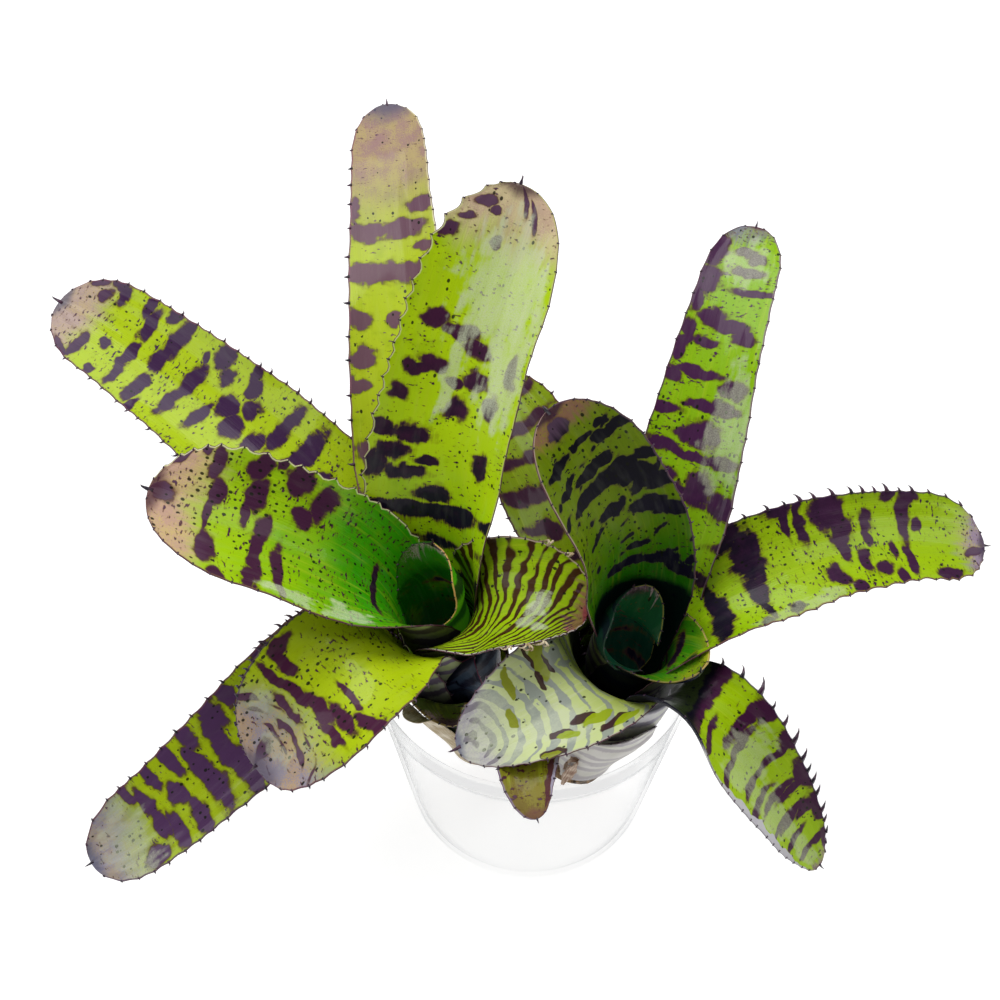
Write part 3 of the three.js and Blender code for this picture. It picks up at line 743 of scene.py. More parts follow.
        look=dict(throat="0e5c14", blade="3c8c10", tip="a8b020", tip_second="7c9c18", tip_reach=12,
                  period=7, specks=0.15, end=3, end_colour="5c3024", shade=0.7, dusk=(-0.9, -0.4),
                  rims=("c8b060",) * 2, glow=0.06),
        # Its under face, on the tube's outer wall, is painted navy for the shade there.
        under=dict(sheath="070b1c", dark="12142c", pale="6a7a3c", green="2c4420", period=7, shade=0.95,
                   dusk=(0.2, 0.9), rims=("c8b060", "a89850"))),
    "right_side_leaf": dict(
        grows=(3, 12, 0.78), tip=(129, 25, 84), aim=(0.95, 0.05, -0.3), bend=(32, 50), widths=(34, 46),
        face=(0.1, -0.35, 1), curl=(24, 30), taper=0.2,
        margins=((5.8, 2.2, -0.6, 0.5), (6.5, 0.4, -0.4, 1.0)), trims=((1, 105, 10, -3),),
        look=dict(throat="7cb008", blade="a0c40a", tip="bcb06c", tip_second="9c88a0", tip_reach=12,
                  first=92, period=11, specks=0.4, end=4, end_colour="4c3a58", band="401c40",
                  navy_to=0.25, freckles=0.67, veil=((0.9, 66, 3, 16),), rims=("3a2048", "8a6a48"))),
    "right_front_leaf": dict(
        grows=(4, 226, 0.66), tip=(-20, -37, 80), aim=(-0.82, -0.25, -0.35), bend=(21, 33),
        widths=(44, 46), face=(-0.15, -0.35, 1), curl=(24, 30), taper=0.45, neck=0.05, slot="leaf_silver",
        margins=((5, 0.7, 0.6, 0.4),) * 2,
        look=dict(throat="b4c83c", blade="ccd898", vein="dce0bc", moss="b4c06c", deep_to=0.35,
                  tip="b8b4b8", tip_second="c8c8bc", tip_reach=18, period=4.3, level=0.1, breakup=0.7,
                  blotch=13, first=4, bow=8, specks=0.2, end=4, end_colour="787a90", band="8c9298",
                  navy_to=-0.6, cover=0.8, dark_from=46, fringe=-0.3,
                  veil=((0.1, 11, 14, 8), (-0.4, 25, 7, 7)), sheen=0.5, rims=("b0a8a0", "8a7890"),
                  patches=(
                      ("98a41c", ((0.62, 29.5, 4.5, 2.6),)),
                      ("3a1420", ((-0.62, 24.6, 1.3, 3.4), (-0.92, 20.7, 1.4, 3.4), (-0.52, 31, 1.1, 3.5),
                                  (-0.8, 35, 1.2, 3.5), (0.8, 27, 3.4, 0.7), (0.5, 31.5, 3, 0.7),
                                  (0.35, 27, 2.8, 0.9))),
                      ("8a921a", ((0.03, 16, 3.4, 1.7), (0.62, 19.5, 4, 1.2), (-0.93, 20.2, 0.9, 2.4))),
                      ("9aae14", ((-0.67, 25.7, 1.1, 3), (-0.6, 33.6, 1.1, 4.2),
                                  (-0.86, 37.5, 0.9, 3.4)))))),
    "right_rear_leaf": dict(
        grows=(5, 69, 0.6), tip=(63, 91, 145), aim=(0.3, 0.8, 0.1), bend=(50, 56), widths=(34, 44),
        face=(-0.2, -0.4, 1), curl=(26, 40), taper=0.4, neck=0.25,
        margins=((8, 0.4, 0.7, 0.3), (7, 0.4, 0.7, 0.3)),
        look=dict(throat="84b408", blade="8cbc0c", tip="8a9060", tip_second="7c7c88", tip_reach=9,
                  first=88, period=8, specks=0.35, end=3, end_colour="5a2848", band="48204a",
                  freckles=0.66, veil=((0.15, 15, 8.5, 8.5), (0.62, 62, 6, 17)), sheen=0.42,
                  rims=("4a1c40", "8a7080"))),
    "right_drooping_leaf": dict(
        grows=(7, 282, 0.73), tip=(82, -45, 26), aim=(0.5, -0.15, -0.95), bend=(35, 50), widths=(35, 50),
        face=(0, -0.3, 0.95), curl=(20, 15), taper=0.5, blunt=2.0,
        margins=((6.2, 3.4, -0.6, 0.5), (6, 0.4, 0.3, 0.3)), trims=((1, 92, 15, 11), (-1, 112, 16, -4)),
        look=dict(throat="84a408", blade="a0c40a", tip="a4a070", tip_second="8a7080", tip_reach=7,
                  first=68, period=9, specks=0.4, end=2, end_colour="5a2048", band="42183c", navy_to=-0.3,
                  dark_from=70, veil=((0.05, 52, 8, 9), (0.35, 33, 5, 16), (0.3, 12, 5, 9)), sheen=0.38,
                  patches=(("c8c4cc", ((-0.05, 106, 8, 5), (1, 40, 1.8, 36))),), gloss=0.05, glow=0.07,
                  rims=("3a1840", "9a9080")),
        # Between dark_from and dark_to its under face takes the sheath's navy as painted shade of its scoop.
        under=dict(pale="d8d6da", dark="a8a4b0", green="c4c6b8", period=9, sheath="04061a", dark_from=68,
                   dark_to=96, dusk=(-2.0, -1.9), gloss=0.02, rims=("a8a4a8",) * 2)),
    "right_rear_left_leaf": dict(
        grows=(6, 128, 0.62), tip=(-14, 64, 112), aim=(-0.5, 0.7, 0.1), bend=(30, 36), widths=(32, 34),
        face=(0.1, -0.4, 1), curl=(24, 30), taper=0.2, margins=((6, 1.0, 0.6, 0.4),) * 2,
        trims=((-1, 34, 22, -4.5),),
        look=dict(throat="6f9410", blade="849c0c", tip="5c2c3c", tip_second="4a2a44", tip_reach=12,
                  period=10, level=0.25, breakup=0.6, first=8, specks=0.5, band="3a1430")),
    "right_tucked_leaf": dict(
        grows=(6, 228, 0.46), tip=(0, -55, 78), aim=(0.3, -0.85, -0.25), bend=(18, 30), widths=(24, 24),
        face=(0, -0.3, 1), curl=(20, 20), taper=0.3, blunt=2, slot="leaf_banded",
        margins=((5, 0.5, 0.5, 0.3),) * 2,
        look=dict(throat="5a6010", blade="7e7c18", moss="6a6c10", tip="8c8238", tip_second="7c6c34",
                  tip_reach=13, period=9, level=1.1, breakup=0.8, blotch=4, first=2, specks=0.1, end=3,
                  end_colour="7c5848", band="481824", freckles=0.64, navy_to=-0.4,
                  rims=("6a3440", "9888a8"), glow=0.05,
                  patches=(("5a3038", ((-0.78, 9, 1.2, 8),)), ("a8a0b4", ((-0.99, 10, 1.2, 8),))))),
    "right_pale_leaf": dict(
        grows=(8, 282, 0.5), tip=(23, -27, 64), aim=(0.2, -0.4, 0.8), bend=(9, 9), widths=(22, 24),
        face=(-0.2, 0.8, 0.6), curl=(19, 19), taper=0.3, slot="leaf_silver",
        margins=((5, 0.3, 0.5, 0.2),) * 2,
        look=dict(throat="8c8c80", blade="b8b8ac", tip="a8a09c", tip_reach=6, period=7, level=0.2,
                  shade=0.4),
        under=dict(period=8, pale="d8d6d0", dark="a49ea2", green="c2c2b2", sheath="b4aea8", shade=0.3,
                   rims=("a09a9c",) * 2)),
    "right_withered_leaf": dict(
        grows=(9, 252, 0.3), tip=(10, -19, 33), aim=(-0.1, -0.9, 0.2), bend=(7, 5), widths=(9, 12),
        face=(0.1, 0.5, 0.8), curl=(14, 6), taper=0.4, slot="leaf_withered",
        trims=((-1, 3, 60, 4.7), (1, 3, 60, 4.7)), curls=((-1, 3, 2), (1, 5, 2)), dry=("d8c4b0", "86644e")),
}

# Single blotches: the share of the half width, distance from the tip, then half sizes across and along.
MARKS = {
    "left_trough_leaf": (
        (0.1, 3, 4, 3), (0.97, 5, 3, 1.6), (0.97, 10, 3, 1.2), (0.72, 13.5, 5, 1.6), (0.3, 15.5, 3, 2),
        (-0.05, 14.5, 4, 1), (-0.55, 15.5, 4.5, 2.2), (0.78, 23.5, 3, 2.5), (0.42, 25.5, 4, 2.2),
        (0.12, 24, 3, 1.2), (0.98, 28, 2.5, 1.5), (0.8, 34, 3.2, 3.4), (0, 29.5, 3, 1.8),
        (-0.45, 28.5, 8, 1.5), (-0.45, 34.5, 5.5, 1.5), (-0.85, 26.5, 4, 1.2), (0.62, 42, 4, 2.6),
        (0.3, 38.5, 3, 2.4), (-0.95, 19, 2.5, 1.6), (-0.85, 35, 2.5, 1.2), (-0.1, 66, 6.5, 1.2)),
    "left_upright_leaf": (
        (-0.6, 6, 4, 1.2), (-0.3, 8, 2, 0.8), (-0.72, 11.5, 3, 1), (-0.86, 16, 2.8, 1.8),
        (-0.1, 15, 1.6, 1.3), (0.3, 4, 1.2, 3.2), (0.5, 7, 1, 3), (-0.52, 37.5, 3.5, 2),
        (-0.1, 39, 4.5, 1.8), (0.15, 42, 3, 2), (0.28, 50, 3, 2.4), (0.75, 44, 1.8, 4),
        (-0.55, 50.5, 4, 1.5), (-0.35, 49, 3.5, 2), (-0.74, 57, 3, 1.8), (0, 52, 2.5, 1.3),
        (0.1, 58.5, 2.5, 2.8), (0.55, 55, 1.5, 3), (-0.9, 66.5, 5, 1.8), (-0.4, 67, 4.5, 2),
        (-0.65, 72, 4.5, 2), (-0.9, 75, 4, 3), (-0.15, 74, 3, 1), (-0.4, 77, 5, 1.6), (0, 83, 4, 2.5),
        (0.6, 71, 2, 3.5)),
    "left_rear_left_leaf": (
        (0.6, 11, 2.5, 1.4), (0.92, 8, 1.6, 2.2), (-0.9, 10, 1.6, 3), (0.75, 16, 4, 1.6),
        (0.97, 14, 3, 2), (0.8, 25, 3.5, 1.6), (0.93, 33, 3, 1.8), (0.5, 28, 5.5, 1.9),
        (-0.15, 28, 4, 1.6), (-0.6, 29, 4.5, 1.6), (-0.25, 20, 2.2, 1.3), (-0.6, 13.5, 5, 1.5),
        (-0.9, 22.5, 2.5, 1.2), (0.62, 38, 7, 2.2), (0.08, 37, 4, 2.2), (-0.55, 37.5, 5.5, 1.8),
        (-0.95, 41, 3.5, 1.6), (0.85, 53, 4.5, 2.4), (0.58, 47.5, 2, 1.2), (0.12, 49.5, 5.5, 2.4),
        (-0.4, 49, 5, 2), (0.5, 57, 2.6, 2.2), (0.15, 62.5, 3, 2.8), (0.62, 66, 2.6, 2.2),
        (0.9, 64, 4, 1.3), (0.35, 69, 3, 2.4), (-0.3, 58.5, 4.5, 2), (-0.05, 68, 2.6, 3.4),
        (0.02, 77, 3, 2.4), (0.45, 81, 6, 2.2), (0.4, 90, 7, 2.2), (0.2, 99, 4, 2.5)),
    "left_rear_leaf": (
        (0.8, 43, 4.5, 2.5), (-0.9, 43, 1.5, 4), (-0.6, 50.5, 6, 3), (0.2, 50, 6, 3),
        (0.75, 57, 3.5, 1.5), (-0.3, 64, 12, 3), (0.5, 65, 3, 3), (-0.8, 78, 3, 2.5), (-0.1, 78, 1.5, 2),
        (-0.75, 89, 3, 3), (-0.9, 97, 3, 2)),
    "left_front_leaf": (
        (0.6, 22, 5, 1.2), (0.25, 23, 4, 1.2), (-0.1, 24.5, 5, 1.5), (-0.45, 26.5, 5, 1.6),
        (-0.8, 30, 5, 1.6), (0.62, 26.5, 3.5, 1.3), (0.85, 28, 2, 2.5), (0.2, 18.5, 5, 1),
        (-0.5, 22.5, 5, 1), (-0.3, 31.5, 4.5, 0.8), (0.1, 5, 2.5, 3)),
    "left_low_leaf": (
        (0.8, 61, 4, 2.2), (0.8, 55, 5, 2.5), (0.4, 51.5, 5, 2.2), (0, 50.5, 6, 2.5), (-0.5, 51.5, 7, 3),
        (0.8, 45, 4, 2), (0.45, 42, 3, 1.6), (0.1, 42, 5, 2.4), (-0.35, 42.5, 7, 2.6), (0.75, 37, 5, 1.8),
        (0.15, 32, 2.5, 2), (-0.05, 33, 2, 1.5), (-0.65, 34, 5, 2), (0.8, 29, 5, 1.6), (0.35, 23, 5, 1.6),
        (-0.2, 23, 4, 1.8), (-0.6, 26.5, 6, 2), (0.8, 20.5, 4, 1.6), (-0.75, 18, 3, 3)),
    "right_upright_leaf": (
        (-0.1, 4.5, 4.5, 2.6), (0.9, 13, 4, 1.6), (0.62, 10.5, 2.4, 1), (0.15, 11.5, 3, 1.2),
        (0.42, 13.5, 2.6, 1.5), (0.6, 14.5, 2.4, 1), (-0.5, 12.5, 5.5, 1.3), (0.25, 20, 3, 1.6),
        (0.45, 24, 4, 2), (0.85, 23.5, 4, 1.6), (-0.1, 20.5, 4.5, 1.4), (-0.6, 19, 3, 1),
        (0.8, 31, 5, 2.6), (0.5, 27.5, 5, 2.8), (0.15, 25.5, 4.5, 2.6), (-0.15, 25.5, 4.5, 2.2),
        (-0.45, 25.5, 4, 1.6), (0.5, 38, 4.5, 2.4), (0.75, 41, 4, 2), (-0.05, 35, 3.5, 1.6),
        (0.2, 51.5, 2.5, 1.2), (0.5, 57.5, 5, 2.2), (0.15, 57, 4.5, 2), (-0.1, 58, 4, 1.8),
        (0.75, 60, 4, 1.8)),
    "right_side_leaf": (
        (0.3, 3.5, 2, 3), (0.85, 15, 2, 4), (-0.3, 22, 1.6, 1.2), (-0.9, 24.5, 2, 2.4),
        (-0.5, 26, 6.5, 1.8), (0.45, 27, 5, 1.3), (0.85, 32, 3, 1.5), (0.2, 31.5, 2.6, 1.2),
        (-0.92, 31, 1.5, 2), (0.6, 37, 2.2, 2.2), (-0.4, 38, 3, 2), (-0.1, 38.5, 2.6, 1.2),
        (0.4, 41.5, 3.2, 1.8), (0.88, 47, 2, 2), (-0.7, 49, 5, 4), (-0.35, 46.5, 5, 2.8),
        (0, 46.5, 3.5, 1.6), (0.55, 52, 3, 2.6), (-0.65, 57, 6.5, 1.3), (-0.7, 61, 4, 1.2),
        (-0.95, 62, 3, 3), (-0.5, 72, 4.5, 3.5), (-0.2, 73.5, 3, 4), (-0.85, 78, 3, 6),
        (0.25, 75.5, 4, 2.6), (-0.05, 72, 3, 1.2), (0.1, 87, 8, 1.8), (0.6, 88.5, 5, 2),
        (0.85, 68.5, 1.6, 1.6), (0.55, 76, 4, 1.2), (0.95, 78, 2, 1.5)),
    "right_front_leaf": (
        (0.15, 4.5, 2.5, 2), (0.3, 23.5, 3, 1.3), (0.75, 34, 0.9, 4), (0.55, 32, 1.1, 4.5),
        (0.4, 37, 0.9, 3), (-0.95, 20.5, 3, 1.2)),
    "right_rear_leaf": (
        (-0.85, 12, 3.5, 5), (-0.8, 22, 4, 5), (-0.9, 29, 2, 3), (-0.85, 38, 2, 2.5), (-0.9, 44, 1.5, 3),
        (-0.85, 52, 3, 1.6), (0, 11, 3.5, 1.6), (0.35, 13.5, 3, 1.8), (0.2, 18, 4.5, 1.4),
        (0.4, 24.5, 6, 1.2), (-0.35, 33.5, 4, 2.4), (0.15, 35.5, 4.5, 1.5), (0.5, 38.5, 3, 2),
        (-0.8, 42, 2, 1.6), (-0.3, 41, 3.5, 1.3), (-0.35, 50, 6.5, 1.3), (-0.85, 61, 4.5, 1.4),
        (-0.1, 58.5, 4, 1.3), (0.4, 58.5, 4, 1.6), (0.5, 53, 3, 2), (0.15, 66, 4, 3), (-0.1, 67, 4, 1.2),
        (-0.55, 71, 4, 1.6), (0, 72, 8, 1.1), (0.6, 71.5, 4, 1.5), (-0.45, 79, 2.5, 2.5),
        (-0.05, 82, 3, 2), (0.3, 80, 3, 4), (0.8, 83, 3, 3)),
    "right_drooping_leaf": (
        (-0.7, 71, 7, 1.9), (0.1, 71, 8, 1.2), (-0.45, 60, 6, 1.6), (-0.1, 57, 4, 1.4),
        (-0.92, 58, 3, 1.9), (0.35, 66, 5, 1.1), (0.55, 56, 5, 1.2), (0.2, 46, 5, 1.2), (-0.5, 46, 6, 1),
        (-0.9, 48, 2.5, 3), (0.5, 40, 6, 1.2), (0, 36, 6, 1.4), (-0.5, 33, 6, 1.4), (-0.9, 35, 2.4, 5),
        (-0.1, 26, 7, 1.2), (-0.6, 24, 5, 1.2), (-0.92, 22, 2.2, 5), (0.5, 28, 5, 1), (0.3, 19, 6, 1.2),
        (-0.5, 11, 6, 1.2), (-0.9, 9, 2.5, 4), (0.4, 11, 4, 0.9)),
}


class Leaf(SimpleNamespace):
    """A row of LEAVES with its driving sizes by name."""

    def __init__(self, number, name):
        super().__init__(name=name, **{**LEAF_USUAL, **LEAVES[name]})
        self.rosette = ROSETTES[name.split("_")[0]]
        self.layer, self.heading, self.shoulder = self.grows
        self.rise, self.run = self.bend
        self.width, self.sheath_width = self.widths
        self.seed = 10.0 + 13.7 * number  # its own place in the noise


class LeafShape:
    """The stations along one leaf: its middle line, directions, half width and channel."""

    def __init__(self, leaf):
        self.leaf = leaf
        self.lay_line()
        self.turn_faces()
        self.curl_channel()
        self.cut_outline()
        self.thickness = LEAF_THICKNESS * np.minimum(1, np.sqrt(self.half / 3))

    def lay_line(self):
        """The sheath, up the tube and swelling out from the stem, then the blade's curve to the tip."""
        leaf, rosette = self.leaf, self.leaf.rosette
        self.axis = unit(rosette.crown - rosette.foot)
        out = heading(leaf.heading)
        self.out = unit(out - self.axis * (out @ self.axis))
        start = LAYER_STEP * (rosette.layers - leaf.layer)
        shoulder_height = leaf.shoulder * np.linalg.norm(rosette.crown - rosette.foot)
        height = np.linspace(start, shoulder_height, SHEATH_POINTS)
        stem = STEM_RADIUS + STEM_PITCH * leaf.layer
        wide = INNER_RADIUS + LAYER_PITCH * leaf.layer
        self.radius = stem + (wide - stem) * smooth(height - start, 0, SWELL_LENGTH)
        sheath = rosette.foot + height[:, None] * self.axis + self.radius[:, None] * self.out

        shoulder, tip = sheath[-1], np.array(leaf.tip, float)
        lead_in = shoulder + unit(sheath[-1] - sheath[-2]) * leaf.rise
        lead_out = tip - unit(leaf.aim) * leaf.run
        t = np.linspace(0, 1, BLADE_POINTS)[1:, None]
        blade = ((1 - t) ** 3 * shoulder + 3 * (1 - t) ** 2 * t * lead_in + 3 * (1 - t) * t * t * lead_out
                 + t ** 3 * tip)
        line = np.vstack([sheath, blade])
        far = walked(line)
        self.length, self.sheath_length, self.sheath_far = far[-1], far[len(sheath) - 1], far[:len(sheath)]

        # The stations crowd towards the tip, where the outline rounds off.
        x = 1 - (1 - np.linspace(0, 1, int(self.length / STATION_STEP))) ** 1.35
        self.s = x * self.length
        self.centre = along(line, self.s)
        ahead, behind = np.minimum(x + 0.004, 1) * self.length, np.maximum(x - 0.004, 0) * self.length
        self.tangent = unit(along(line, ahead) - along(line, behind))
        self.blade = (self.s - self.sheath_length) / (self.length - self.sheath_length)
        below = 0.92 * self.sheath_length
        self.past_sheath = np.maximum(0, (self.s - below) / (self.length - below))

    def turn_faces(self):
        """The upper face looks at the tube's axis in the sheath and turns to its own way up the blade."""
        leaving = smooth(self.s / self.sheath_length, 0.8, 1.3)[:, None]
        square_to = unit(self.axis + (self.tangent - self.axis) * leaving)
        towards = -self.out + (unit(self.leaf.face) + self.out) * smooth(2 * self.past_sheath)[:, None]
        self.upper = unit(towards - square_to * (towards * square_to).sum(1, keepdims=True))
        self.sideways = np.cross(square_to, self.upper)

    def curl_channel(self):
        """The curvature across the leaf: the tube's in the sheath, the channel's own along the blade."""
        tube = 1 / np.interp(self.s, self.sheath_far, self.radius)
        blade_length = self.length - self.sheath_length
        change_length = 0.35 * blade_length + 0.1 * self.sheath_length
        flattening = smooth(self.s - 0.9 * self.sheath_length, 0, change_length)
        low, high = self.leaf.curl
        channel = 1 / low + (1 / high - 1 / low) * self.past_sheath
        self.curve = tube + (channel - tube) * flattening

    def cut_outline(self):
        """Half the width at each station, the same on both sides but for the trims."""
        leaf, s, length, sheath = self.leaf, self.s, self.length, self.sheath_length
        half = (leaf.sheath_width + (leaf.width - leaf.sheath_width) * smooth(s / sheath, 0.55, 1.3)) / 2
        half *= 0.72 + 0.28 * smooth(s / sheath, 0, 0.3)
        half *= 1 - leaf.neck * np.exp(-((s / sheath - 1.1) / 0.3) ** 2)
        half *= 1 - leaf.taper * smooth(s, sheath, length)

        round_end = leaf.blunt * leaf.width / 2
        half *= np.sqrt(1 - np.maximum(0, (s - length + round_end) / round_end) ** 2.2)
        most = 2.7 / self.curve  # nearly half way round on each side, so that the margins don't meet
        self.half = np.maximum(np.minimum(half, most), LEAST_HALF_WIDTH)
        self.halves = [self.half.copy(), self.half.copy()]
        for side, from_tip, spread, depth in leaf.trims:
            self.halves[side > 0] -= depth * np.exp(-((length - s - from_tip) / spread) ** 2)
        self.halves = [np.maximum(half, LEAST_HALF_WIDTH) for half in self.halves]

    def at(self, v, face, inset=0.0, lift=0.0):
        """Points at the share v of the half width, on the upper (1), the under (-1) or no face (0)."""
        half = np.where(v < 0, self.halves[0][:, None], self.halves[1][:, None])
        across = v * half - np.sign(v) * inset * smooth(np.abs(v), 0.6, 1.0)
        curve = self.curve[:, None]
        thickness = self.thickness[:, None] * (1 - 0.55 * np.abs(v) ** 3)
        radius = 1 / curve - face * thickness / 2 - lift
        angle = across * curve
        return (self.centre[:, None] + self.upper[:, None] * (1 / curve - radius * np.cos(angle))[..., None]
                + self.sideways[:, None] * (radius * np.sin(angle))[..., None]), across


UPPER, UNDER, SPINE, SHRED = range(4)  # a leaf's material slots
COLUMNS = 40  # of faces across each face of a leaf
EDGE_BULGE = 0.13  # of the margin's rounded edge, beyond the two faces
SHREDS_EACH = 4  # at each of a leaf's curls


class Margin:
    """One side's margin: where its spines stand, and how far it steps in between them."""

    def __init__(self, shape, side, row, rng):
        self.spacing, self.spine_length, self.lean, depth = row
        edge = shape.at(np.array([[side]]) * 0.999, 0)[0][:, 0]
        self.far = walked(edge)
        self.length = self.far[-1]
        from_base = np.interp(0.55 * shape.sheath_length, shape.s, self.far)
        self.places, at = [], from_base + self.spacing * rng.random()
        while at < self.length - 1.0:
            self.places.append(at)
            at += self.spacing * (0.7 + 0.6 * rng.random()) * (1.1 - 0.35 * (at / self.length))
        nearest = np.min(np.abs(self.far[:, None] - np.array(self.places)[None]), axis=1)
        scallop = np.sin(np.minimum(nearest / self.spacing, 0.5) * math.pi) ** 0.8
        self.inset = depth * scallop * smooth(shape.half, 1, 6)

    def add_spines(self, parts, rng, edge, inner):
        """Hooked spines along the edge. inner is the line next to it, inside the leaf."""
        outward = unit(edge - inner)
        forward = unit(np.gradient(edge, axis=0)) * math.copysign(1, self.lean)
        for at in self.places:
            base, out, bend = (along(line, at, self.far) for line in (edge, outward, forward))
            near_tip = min(1.0, 0.4 + (self.length - at) / (0.35 * self.length))
            size = self.spine_length * near_tip * (0.5 + 0.75 * rng.random())
            out, bend = unit(out), unit(bend) * abs(self.lean)
            # From just inside the edge out, bending more and more.
            line = [base - out * 0.6, base + size * (out * 0.3 + bend * 0.15),
                    base + size * (out * 0.65 + bend * 0.5), base + size * (out * 0.85 + bend * 1.05)]
            thick = 0.13 + 0.12 * size
            parts.add_tube(line, [1.6 * thick, thick, 0.45 * thick], SPINE, sides=5)


def ruffle(shape, v, rng):
    """How far the skin is lifted: waves that grow towards the margins, and faint ones all over."""
    # Six draws, of which the waves need five.
    phase = [rng.random() * math.tau for _ in range(6)]
    s = shape.s[:, None]
    long_wave = np.sin(s / 9 + phase[0] + 2.2 * np.sign(v))
    short_wave = np.sin(s / 4.1 + phase[1] - 1.3 * np.sign(v))
    lift = 0.35 * (long_wave + 0.7 * short_wave) * np.abs(v) ** 4
    lift = lift + 0.25 * np.sin(s / 13 + 2.1 * v + phase[2])
    lift += 0.12 * np.sin(s / 5.2 - 3.7 * v + phase[3]) + 0.05 * np.sin(v * 21 + phase[4] + s / 40)
    return lift * smooth(shape.blade, -0.1, 0.3)[:, None] * smooth(shape.half, 0.4, 5)[:, None]


def add_skin(parts, shape, margins, rng):
    """The leaf's closed blade. Gives back each side's edge, and the line of the upper face next to it."""
    spread = 0.86 * math.pi / 2  # the columns crowd towards the margins
    v = np.sin(np.linspace(-1, 1, COLUMNS + 1) * spread) / math.sin(spread)
    lift = ruffle(shape, v, rng)
    inset = np.where(v < 0, margins[0].inset[:, None], margins[1].inset[:, None])
    upper, reach = shape.at(v, 1, inset, lift)
    under, _ = shape.at(v, -1, inset, lift)
    edges = []
    for last, inner in ((0, 1), (-1, -2)):
        middle = (upper[:, last] + under[:, last]) / 2
        outward = unit(middle - (upper[:, inner] + under[:, inner]) / 2)
        edges.append(middle + outward * EDGE_BULGE)

    # Round each station: the upper face, the right edge, the under face back and the left edge.
    ring = np.concatenate([upper, edges[1][:, None], under[:, ::-1], edges[0][:, None]], axis=1)
    rows, size = ring.shape[:2]
    reach = np.concatenate([reach, reach[:, -1:], reach[:, ::-1], reach[:, :1]], axis=1)
    v_ring = np.concatenate([v, [1.0], v[::-1], [-1.0]])[None].repeat(rows, axis=0)
    from_tip = np.repeat((shape.length - shape.s)[:, None], size, axis=1)
    blade = np.repeat(shape.blade[:, None], size, axis=1)
    finishes = ([UPPER] * COLUMNS + [UNDER] * (size - COLUMNS)) * (rows - 1) + [UNDER, UNDER]
    parts.add(ring, grid_faces(rows, size) + end_caps(rows, size), finishes,
              np.stack([reach, from_tip], -1).reshape(-1, 2), np.stack([v_ring, blade], -1).reshape(-1, 2))
    return (edges[0], upper[:, 1]), (edges[1], upper[:, -2])


def add_shreds(parts, shape, edge, from_tip, size, rng):
    """Dry shreds of skin that curl off the margin."""
    row = int(np.argmin(np.abs(shape.length - shape.s - from_tip)))
    start, ahead, up = edge[row], shape.tangent[row], shape.upper[row]
    out = unit(edge[row] - shape.centre[row])
    t = np.linspace(0, 1, 12)[:, None]
    for _ in range(SHREDS_EACH):
        swing, twist = rng.uniform(-1, 1), rng.uniform(3, 6)
        line = (start + ahead * (swing * t * size + 0.25 * size * np.sin(twist * t))
                + out * (0.45 * size * np.sin(2.6 * t) - 0.3) + up * 0.3 * size * np.sin(twist * t * 1.3))
        parts.add_tube(line, np.linspace(0.32, 0.12, 11), SHRED, sides=5)


def add_tip_hook(parts, shape):
    """The small hook at the tip, stouter on a wider leaf."""
    stout = shape.leaf.width / 45
    tip, ahead, up = shape.centre[-1], shape.tangent[-1], shape.upper[-1]
    hook = [tip + stout * (ahead * a + up * b) for a, b in ((-1.2, 0), (0.6, 0), (1.8, 0.3), (2.4, 1.3))]
    parts.add_tube(hook, [0.7 * stout, 0.45 * stout, 0.25 * stout], SPINE)


def grow_leaf(leaf):
    """The blade with its scalloped margins, the spines along them, the shreds and the hook at the tip."""
    rng = random.Random(leaf.name)
    shape = LeafShape(leaf)
    parts = Parts()
    margins = [Margin(shape, side, row, rng) for side, row in zip((-1, 1), leaf.margins)]
    sides = add_skin(parts, shape, margins, rng)
    for margin, (edge, inner) in zip(margins, sides):
        if margin.spine_length:
            margin.add_spines(parts, rng, edge, inner)
    for side, from_tip, size in leaf.curls:
        add_shreds(parts, shape, sides[side > 0][0], from_tip, size, rng)
    if not leaf.dry:
        add_tip_hook(parts, shape)
    return parts


def make_leaves():
    spine = wiry_finish("spines", "1d0f26", "4a2440")
    shred = wiry_finish("dry_shreds", "a88860", "e4d4b4")
    for number, name in enumerate(LEAVES):
        leaf = Leaf(number, name)
        parts = grow_leaf(leaf)
        if leaf.dry:
            finishes = [withered_finish(f"{name}_papery", *leaf.dry)] * 4
        else:
            finishes = [UpperFace(leaf).make(), UnderFace(leaf).make(), spine, shred]
        stand_for(parts.build(f"{name}_grown", finishes), name)


# ---------------------------------------------------------------- cup

CUP_RIM = 49.0  # outer radius
CUP_BASE = 38.5
CUP_HEIGHT = 78.0
CUP_WALL = 1.0
CUP_FLOOR = 1.2
CUP_HEEL = 1.2  # height of the rounded corner between the base and the wall
RECESS = 0.5  # of the underside's middle, inside the ring that the cup stands on
BEAD = 1.6  # radius of the rolled rim


def turned(profile, sides):
    """A closed profile of radius and height turned about the Z axis: points and faces."""
    profile = np.asarray(profile, float)
    turn = np.arange(sides) * math.tau / sides
    points = np.stack([profile[:, None, 0] * np.cos(turn), profile[:, None, 0] * np.sin(turn),
                       np.repeat(profile[:, 1:], sides, axis=1)], -1)
    return points, grid_faces(len(profile), sides, closed=True)


